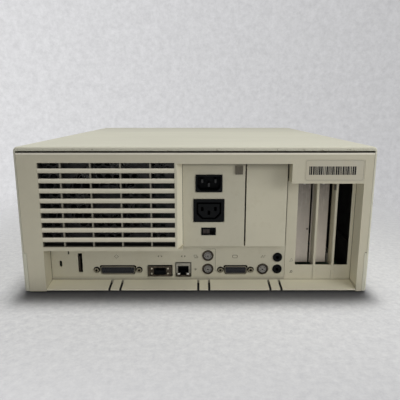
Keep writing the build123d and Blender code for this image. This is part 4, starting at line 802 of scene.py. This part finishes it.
def ribbon(name, colour):
    """Flat cable with a line for each conductor and one coloured edge."""
    material, tree = new_tree(name)
    conductor_pitch = 1.27
    across = position(tree)["X"]
    turns = math_node(tree, "FRACT", math_node(tree, "MULTIPLY", across, 1.0 / (conductor_pitch * mm)))
    crest = math_node(tree, "PINGPONG", turns, 0.5)
    tone = blend_colours(tree, between(tree, crest, 0.0, 0.14), shade(colour, 0.45), colour)
    edge = box("drive_ribbon")[0].x
    marked = zone(tree, ("X", edge + 3.55, edge + 3.15))
    tone = blend_colours(tree, marked, tone, (0.42, 0.05, 0.04))
    dust = patches(tree, 9, 0.45, 0.8)
    tone = layer(tree, tone, (0.5, 0.49, 0.45), dust, 0.2)
    normal = bump(tree, crest, 0.25, 0.7)
    shader(tree, {"Base Color": tone, "Roughness": 0.45, "Normal": normal})
    return material


def film(name, colour):
    """Printed film: smooth, a little glossy, yellowed at random."""
    material, tree = new_tree(name)
    aged = patches(tree, 16, 0.35, 0.7)
    tone = blend_colours(tree, aged, colour, tinted(colour, 1.0, 0.965, 0.90))
    marks = patches(tree, 1.1, 0.72, 0.76, detail=2.0)
    tone = layer(tree, tone, shade(colour, 0.4), marks, 0.4)
    normal = bump(tree, noise(tree, 3.0, detail=2.0), 0.01)
    shader(tree, {"Base Color": tone, "Roughness": 0.33, "Normal": normal})
    return material


def lens(name, colour):
    """Clear light pipe with faint flow marks."""
    material, tree = new_tree(name)
    flow = noise(tree, 3, detail=2.0)
    inputs = {
        "Base Color": blend_colours(tree, between(tree, flow, 0.4, 0.7), colour, shade(colour, 0.8)),
        "Roughness": between(tree, flow, 0.3, 0.7, 0.06, 0.2),
        "Transmission Weight": 0.9,
        "IOR": 1.49,
    }
    shader(tree, inputs)
    return material


def paper(name, colour):
    """Pressed paper fibre."""
    material, tree = new_tree(name)
    fibres = noise(tree, 0.8, detail=5.0, roughness=0.8)
    tone = blend_colours(tree, fibres, colour, shade(colour, 2.2))
    shader(tree, {"Base Color": tone, "Roughness": 0.95, "Normal": bump(tree, fibres, 0.05)})
    return material


# Stretch of the grain in metal that is brushed along an axis.
along_x = (0.05, 1.0, 1.0)
along_z = (1.0, 1.0, 0.05)

# Small stains on the right column and on a slot cover, each as its middle and size.
column_stain = ((178.9, rear, 44.8), (1.7, 4.0, 1.7))
plate_stain = ((124.6, -181.3, 61.5), (2.6, 8.0, 2.6))

# Finish of each material slot. The nodes in panel_paint and port_grey all have one of their own.
finishes = {
    "frame_plastic": plastic("frame_plastic", (0.600, 0.562, 0.430), light_painted=True, stains=[column_stain]),
    "cover_plastic": lid_plastic("cover_plastic", (0.620, 0.605, 0.485)),
    "label_film": film("label_film", (0.535, 0.506, 0.405)),
    "foot_rubber": rubber("foot_rubber", (0.045, 0.045, 0.045)),
    "button_plastic": plastic("button_plastic", (0.50, 0.475, 0.40), worn=0.8),
    "lens_clear": lens("lens_clear", (0.75, 0.80, 0.72)),
    "black_plastic": dark_plastic(
        "black_plastic", (0.0025, 0.003, 0.0035), roughness=0.5, shine=0.08, dustiness=0.005
    ),
    "plated_steel": metal("plated_steel", (0.50, 0.47, 0.41), 0.40, stretch=along_x),
    "slot_cover_steel": bracket_steel("slot_cover_steel", (0.78, 0.70, 0.60)),
    "brass_posts": post_brass("brass_posts", (0.70, 0.65, 0.52)),
    "bright_blades": metal("bright_blades", (0.03, 0.03, 0.03), 0.40, stretch=along_z, tarnish=0.15),
    "selector_red": dark_plastic("selector_red", (0.030, 0.020, 0.017), 0.6),
    "tab_steel": metal("tab_steel", (0.050, 0.042, 0.034), 0.5, stretch=along_z, tarnish=0.8),
    "circuit_board": circuit("circuit_board", (0.020, 0.110, 0.050)),
    "chip_plastic": dark_plastic("chip_plastic", (0.018, 0.018, 0.020), 0.5),
    "socket_plastic": plastic("socket_plastic", (0.52, 0.49, 0.40), worn=0.3),
    "fan_plastic": dark_plastic("fan_plastic", (0.014, 0.014, 0.015), 0.45),
    "cast_aluminium": metal("cast_aluminium", (0.50, 0.50, 0.50), 0.45),
    "fin_aluminium": metal("fin_aluminium", (0.60, 0.60, 0.60), 0.30, stretch=along_z),
    "paper_cone": paper("paper_cone", (0.020, 0.020, 0.021)),
    "screw_steel": metal("screw_steel", (0.55, 0.54, 0.50), 0.30),
    "battery_wrap": film("battery_wrap", (0.10, 0.16, 0.36)),
    "ribbon_grey": ribbon("ribbon_grey", (0.32, 0.32, 0.33)),
}

# Painted shade on each sheet of painted steel, under the edge that stands over it and above the ledge.
sheet_top = psu_high.z
port_shade = (
    (0.60, ("Z", panel_high.z - 5.2, panel_high.z - 1.2), ("X", -14.0, -22.0)),
    (0.55, ("Z", ledge_top + 4.0, ledge_top - 0.1)),
)
psu_shade = (
    (0.80, ("Z", sheet_top - 4.4, sheet_top - 0.9)),
    (0.10, ("Z", psu_low.z + 13.0, psu_low.z + 63.0)),
)
blank_shade = (
    (0.80, ("Z", sheet_top - 8.4, sheet_top - 0.4)),
    (0.20, ("Z", sheet_top - 30.4, sheet_top - 8.4)),
)

# Two port shells share one finish.
dull_bronze = metal(
    "dull_bronze", (0.27, 0.245, 0.19), 0.42, stretch=along_x, tarnish=0.6, shaded_behind=True
)

# Nodes whose finish differs from that of their material slot.
own_finishes = {
    "vent_grille": plastic("grille_plastic", (0.680, 0.640, 0.500), light_painted=True, barred=True),
    "port_panel": painted_sheet("port_panel_paint", (0.540, 0.510, 0.392), port_shade),
    "psu_panel": painted_sheet("psu_panel_paint", (0.562, 0.531, 0.411), psu_shade),
    "blank_panel": painted_sheet("blank_panel_paint", (0.618, 0.582, 0.447), blank_shade),
    "dsub_port_cores": dark_plastic(
        "core_black",
        (0.013, 0.014, 0.018),
        roughness=0.45,
        shine=0.30,
        dustiness=0.016,
        holed="dsub_port_cores",
    ),
    "round_port_cores": dark_plastic("core_grey", (0.220, 0.210, 0.190), 0.45, holed="round_port_cores"),
    # Darker copy of the board's finish, as painted shade behind the grille.
    "psu_circuit": circuit("shaded_psu_circuit_board", (0.010, 0.022, 0.014)),
    "scsi_port_shell": dull_bronze,
    "video_port_shell": dull_bronze,
    "port_shields": shield_metal("worn_nickel"),
    "ground_clip": metal("clip_steel", (0.11, 0.10, 0.078), 0.5, stretch=along_z, tarnish=0.8),
    # Darker copy of the plated steel, as painted shade behind the grille.
    "vent_screen": metal(
        "shaded_zinc", (0.055, 0.054, 0.052), 0.55, stretch=along_x, tarnish=0.6, edge_light=0.1
    ),
    "psu_case": case_zinc("psu_zinc"),
}


# ---- CAD nodes --------------------------------------------------------------------

# Width of the rounding on each node's edges. The rest get fine_edge.
fine_edge = 0.15
edge_widths = {
    "top_cover": 0.5,
    "front_bezel": 0.5,
    "rear_frame": 0.9,
    "vent_grille": 1.1,
    "base_pan": 0.6,
    "expansion_frame": 0.45,
    "port_panel": 0.25,
    "psu_panel": 0.3,
    "blank_panel": 0.3,
    "slot_covers": 0.25,
    "carriage": 0.4,
    "cd_fascia": 0.4,
    "power_button": 0.5,
    "reset_button": 0.3,
    "interrupt_button": 0.3,
    "cd_eject_button": 0.3,
    "cover_latch_left": 0.4,
    "cover_latch_right": 0.4,
    "power_inlet": 0.4,
    "power_outlet": 0.4,
}
plain_edges = {"vent_screen", "psu_circuit", "board_sockets", "drive_ribbon"}


def dress_nodes():
    """Give each CAD node its material and rounded edges."""
    for entry in frame["record"]["subparts"]:
        name = entry["node"]
        slot_name = entry["material_slot"]
        finish = own_finishes[name] if name in own_finishes else finishes[slot_name]
        shape = nodes[name]
        shape.data.materials.clear()
        shape.data.materials.append(finish)
        if name not in plain_edges:
            round_edges(shape, edge_widths.get(name, fine_edge))


def round_edges(shape, width):
    """Weld the mesh's split corners, then round its sharp edges."""
    weld = shape.modifiers.new("weld", "WELD")
    weld.merge_threshold = 0.002 * mm
    rounding = shape.modifiers.new("rounding", "BEVEL")
    rounding.width = width * mm
    rounding.segments = 2
    rounding.limit_method = "ANGLE"
    rounding.angle_limit = math.radians(50)
    rounding.use_clamp_overlap = True
    rounding.harden_normals = True


# ---- Details ----------------------------------------------------------------------

label_ink = dark_plastic("label_ink", (0.012, 0.011, 0.010), 0.6, shine=0.3, dustiness=0.010)
sign_ink = dark_plastic("sign_ink", (0.055, 0.050, 0.036), 0.7, shine=0.3, dustiness=0.015)
line_ink = dark_plastic("line_ink", (0.300, 0.285, 0.215), 0.6)
clip_metal = metal("clip_metal", (0.75, 0.74, 0.70), 0.3, stretch=along_x, tarnish=0.1)
bar_seed = 12


def keep(shape):
    """Put a piece of the fixed part in the scene."""
    bpy.context.scene.collection.objects.link(shape)
    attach(shape, "chassis")


def slabs(name, places, y, finish, corner):
    """One mesh of flat slabs, each given as (x low, x high, z low, z high), from y[0] to y[1]."""
    mesh = bpy.data.meshes.new(name)
    shape = bmesh.new()
    for left, right, low, high in places:
        made = bmesh.ops.create_cube(shape, size=1.0)
        size = Vector((right - left, y[1] - y[0], high - low)) * mm
        middle = Vector(((left + right) / 2, (y[0] + y[1]) / 2, (low + high) / 2)) * mm
        for corner_point in made["verts"]:
            corner_point.co = corner_point.co * size + middle
    shape.to_mesh(mesh)
    shape.free()
    mesh.materials.append(finish)
    piece = bpy.data.objects.new(name, mesh)
    rounding = piece.modifiers.new("rounding", "BEVEL")
    rounding.width = corner * mm
    rounding.segments = 2
    keep(piece)


def strokes(name, lines, y, width, finish):
    """Raised lines on an upright face, each a list of (x, z) points and whether it closes."""
    data = bpy.data.curves.new(name, "CURVE")
    data.dimensions = "3D"
    data.bevel_depth = width / 2 * mm
    data.bevel_resolution = 2
    data.use_fill_caps = True
    for points, closes in lines:
        line = data.splines.new("POLY")
        line.points.add(len(points) - 1)
        line.use_cyclic_u = closes
        for point, (x, z) in zip(line.points, points):
            point.co = (x * mm, y * mm, z * mm, 1.0)
    data.materials.append(finish)
    keep(bpy.data.objects.new(name, data))


def rounded_outline(x, z, radius, steps=4):
    """Points of a rectangle with rounded corners, from its spans x and z."""
    points = []
    corners = ((x[1], z[1], 0), (x[0], z[1], 1), (x[0], z[0], 2), (x[1], z[0], 3))
    for corner_x, corner_z, quarter in corners:
        middle_x = corner_x - radius if corner_x == x[1] else corner_x + radius
        middle_z = corner_z - radius if corner_z == z[1] else corner_z + radius
        for step in range(steps + 1):
            turn = math.pi / 2 * (quarter + step / steps)
            points.append((middle_x + radius * math.cos(turn), middle_z + radius * math.sin(turn)))
    return points


def label_bars(left, right, low, high):
    """Upright bars of mixed widths, which encode nothing, from left to about right."""
    chooser = random.Random(bar_seed)
    bars = []
    x = left
    while x < right:
        width = chooser.choice((0.8, 1.0, 1.7))
        bars.append((x, x + width, low, high))
        x += width + chooser.choice((0.4, 0.4, 0.7))
    return bars


def make_label():
    """Evenly cadenced bars on the plain label, inside a thin embossed line."""
    low, high = box("rating_label")
    rim_x = (low.x + 1.2, high.x - 1.2)
    rim_z = (low.z + 1.0, high.z - 1.0)
    edge = [(rounded_outline(rim_x, rim_z, 1.6), True)]
    strokes("label_line", edge, low.y + 0.10, 0.40, line_ink)
    bars = label_bars(rim_x[0] + 3.2, rim_x[1] - 9.2, low.z + 6.4, high.z - 6.8)
    slabs("label_bars", bars, (low.y - 0.04, low.y + 0.1), label_ink, 0.01)


def line_at(x, z, points, closes=False):
    """Line of a sign, from its points around (x, z)."""
    return [(x + right, z + up) for right, up in points], closes


def diamond(x, z):
    """A square that stands on its corner."""
    return [line_at(x, z, [(-2.2, 0.0), (0.0, 2.2), (2.2, 0.0), (0.0, -2.2)], True)]


def arrow_pair(x, z):
    """Two small arrows side by side, which point away from each other."""
    lines = []
    for side in (-1, 1):
        middle = x + side * 1.9
        tail = -side * 0.9
        tip = side * 0.5
        lines.append(line_at(middle, z, [(tail, 1.0), (tip, 0.0), (tail, -1.0)]))
        lines.append(line_at(middle, z, [(tail, 0.0), (tip, 0.0)]))
    return lines


def screen_pair(x, z):
    """A screen, with the corner of another one behind it."""
    near = line_at(x, z, [(-1.5, 1.1), (1.5, 1.1), (1.5, -1.1), (-1.5, -1.1)], True)
    far = line_at(x, z, [(-0.9, -2.2), (2.5, -2.2), (2.5, -0.3)])
    return [near, far]


def pointer(x, z):
    """An arrow that points down."""
    head = line_at(x, z, [(-1.6, 1.9), (0.0, 0.0), (1.7, 1.9)])
    return [head, line_at(x, z, [(0.0, 0.0), (0.0, 2.7)])]


def screen(x, z):
    """A wide screen with rounded corners."""
    return [(rounded_outline((x - 2.6, x + 2.6), (z - 1.6, z + 1.6), 0.9), True)]


def wave(x, z):
    """A zigzag of one wave."""
    return [line_at(x, z, [(-2.2, -1.6), (-0.4, 1.4), (0.4, -1.4), (2.2, 1.6)])]


def triangle(x, z):
    """A leaning triangle."""
    return [line_at(x, z, [(-1.6, -1.6), (0.2, 2.0), (1.8, -0.8)], True)]


def microphone(x, z):
    """An upright oval with a short stem under its left side."""
    turns = [2 * math.pi * number / 12 for number in range(12)]
    oval = [(0.3 + 0.96 * math.cos(turn), 1.2 * math.sin(turn) - 0.4) for turn in turns]
    return [line_at(x, z, oval, True), line_at(x, z, [(-1.5, -1.9), (-0.6, -1.0)])]


def sign_lines():
    """Lines of the small generic sign over or beside each port."""
    return [
        *diamond(-87.2, 34.0),
        *arrow_pair(-39.3, 34.2),
        *arrow_pair(-13.7, 34.2),
        *screen_pair(-0.3, 34.5),
        *pointer(-0.3, 17.9),
        *screen(43.2, 33.9),
        *wave(74.0, 33.8),
        *triangle(105.2, 29.7),
        *microphone(105.6, 16.8),
    ]


def make_signs():
    """The signs and the thin outline of the plate behind the serial ports."""
    strokes("port_signs", sign_lines(), port_face + 0.06, 0.5, sign_ink)
    left, right, low, high = 6.0, 21.6, 17.0, 42.6
    edge = [([(right, low), (right, high)], False), ([(left, high), (right, high)], False)]
    strokes("serial_plate_edge", edge, port_face, 0.5, line_ink)


def make_port_contacts():
    """Gilt wires inside the square network socket, and a bright clip at each of its sides."""
    low, high = box("network_socket")
    wire_width = 0.35
    wire_pitch = 1.02
    wires = []
    for number in range(8):
        left = low.x + 3.9 + number * wire_pitch
        wires.append((left, left + wire_width, high.z - 3.9, high.z - 3.5))
    wire_depth = (low.y + 2.5, low.y + 11.5)
    slabs("network_wires", wires, wire_depth, finishes["brass_posts"], 0.08)
    clip_width = 2.8
    clips = []
    for left in (low.x + 0.8, high.x - 0.8 - clip_width):
        clips.append((left, left + clip_width, low.z + 2.4, low.z + 4.1))
    clip_depth = (port_face - 1.35, port_face - 0.6)
    slabs("network_clips", clips, clip_depth, clip_metal, 0.3)


def make_marks():
    """Small hook on the port panel and a worn tab on the second rib of the bay."""
    hook = [(-140.2, -138.9, 36.6, 41.6)]
    hook_depth = (port_face - 0.7, port_face + 0.2)
    slabs("panel_hook", hook, hook_depth, sign_ink, 0.3)
    tab = [(147.2, 149.7, 108.4, 114.4)]
    tab_depth = (bay_low.y - 0.25, bay_low.y + 0.4)
    slabs("rib_tab", tab, tab_depth, sign_ink, 0.25)


# ---- Whole scene ------------------------------------------------------------------


make_camera()
make_floor()
make_light()
bpy.context.scene.view_settings.view_transform = "Standard"
dress_nodes()
make_label()
make_signs()
make_port_contacts()
make_marks()
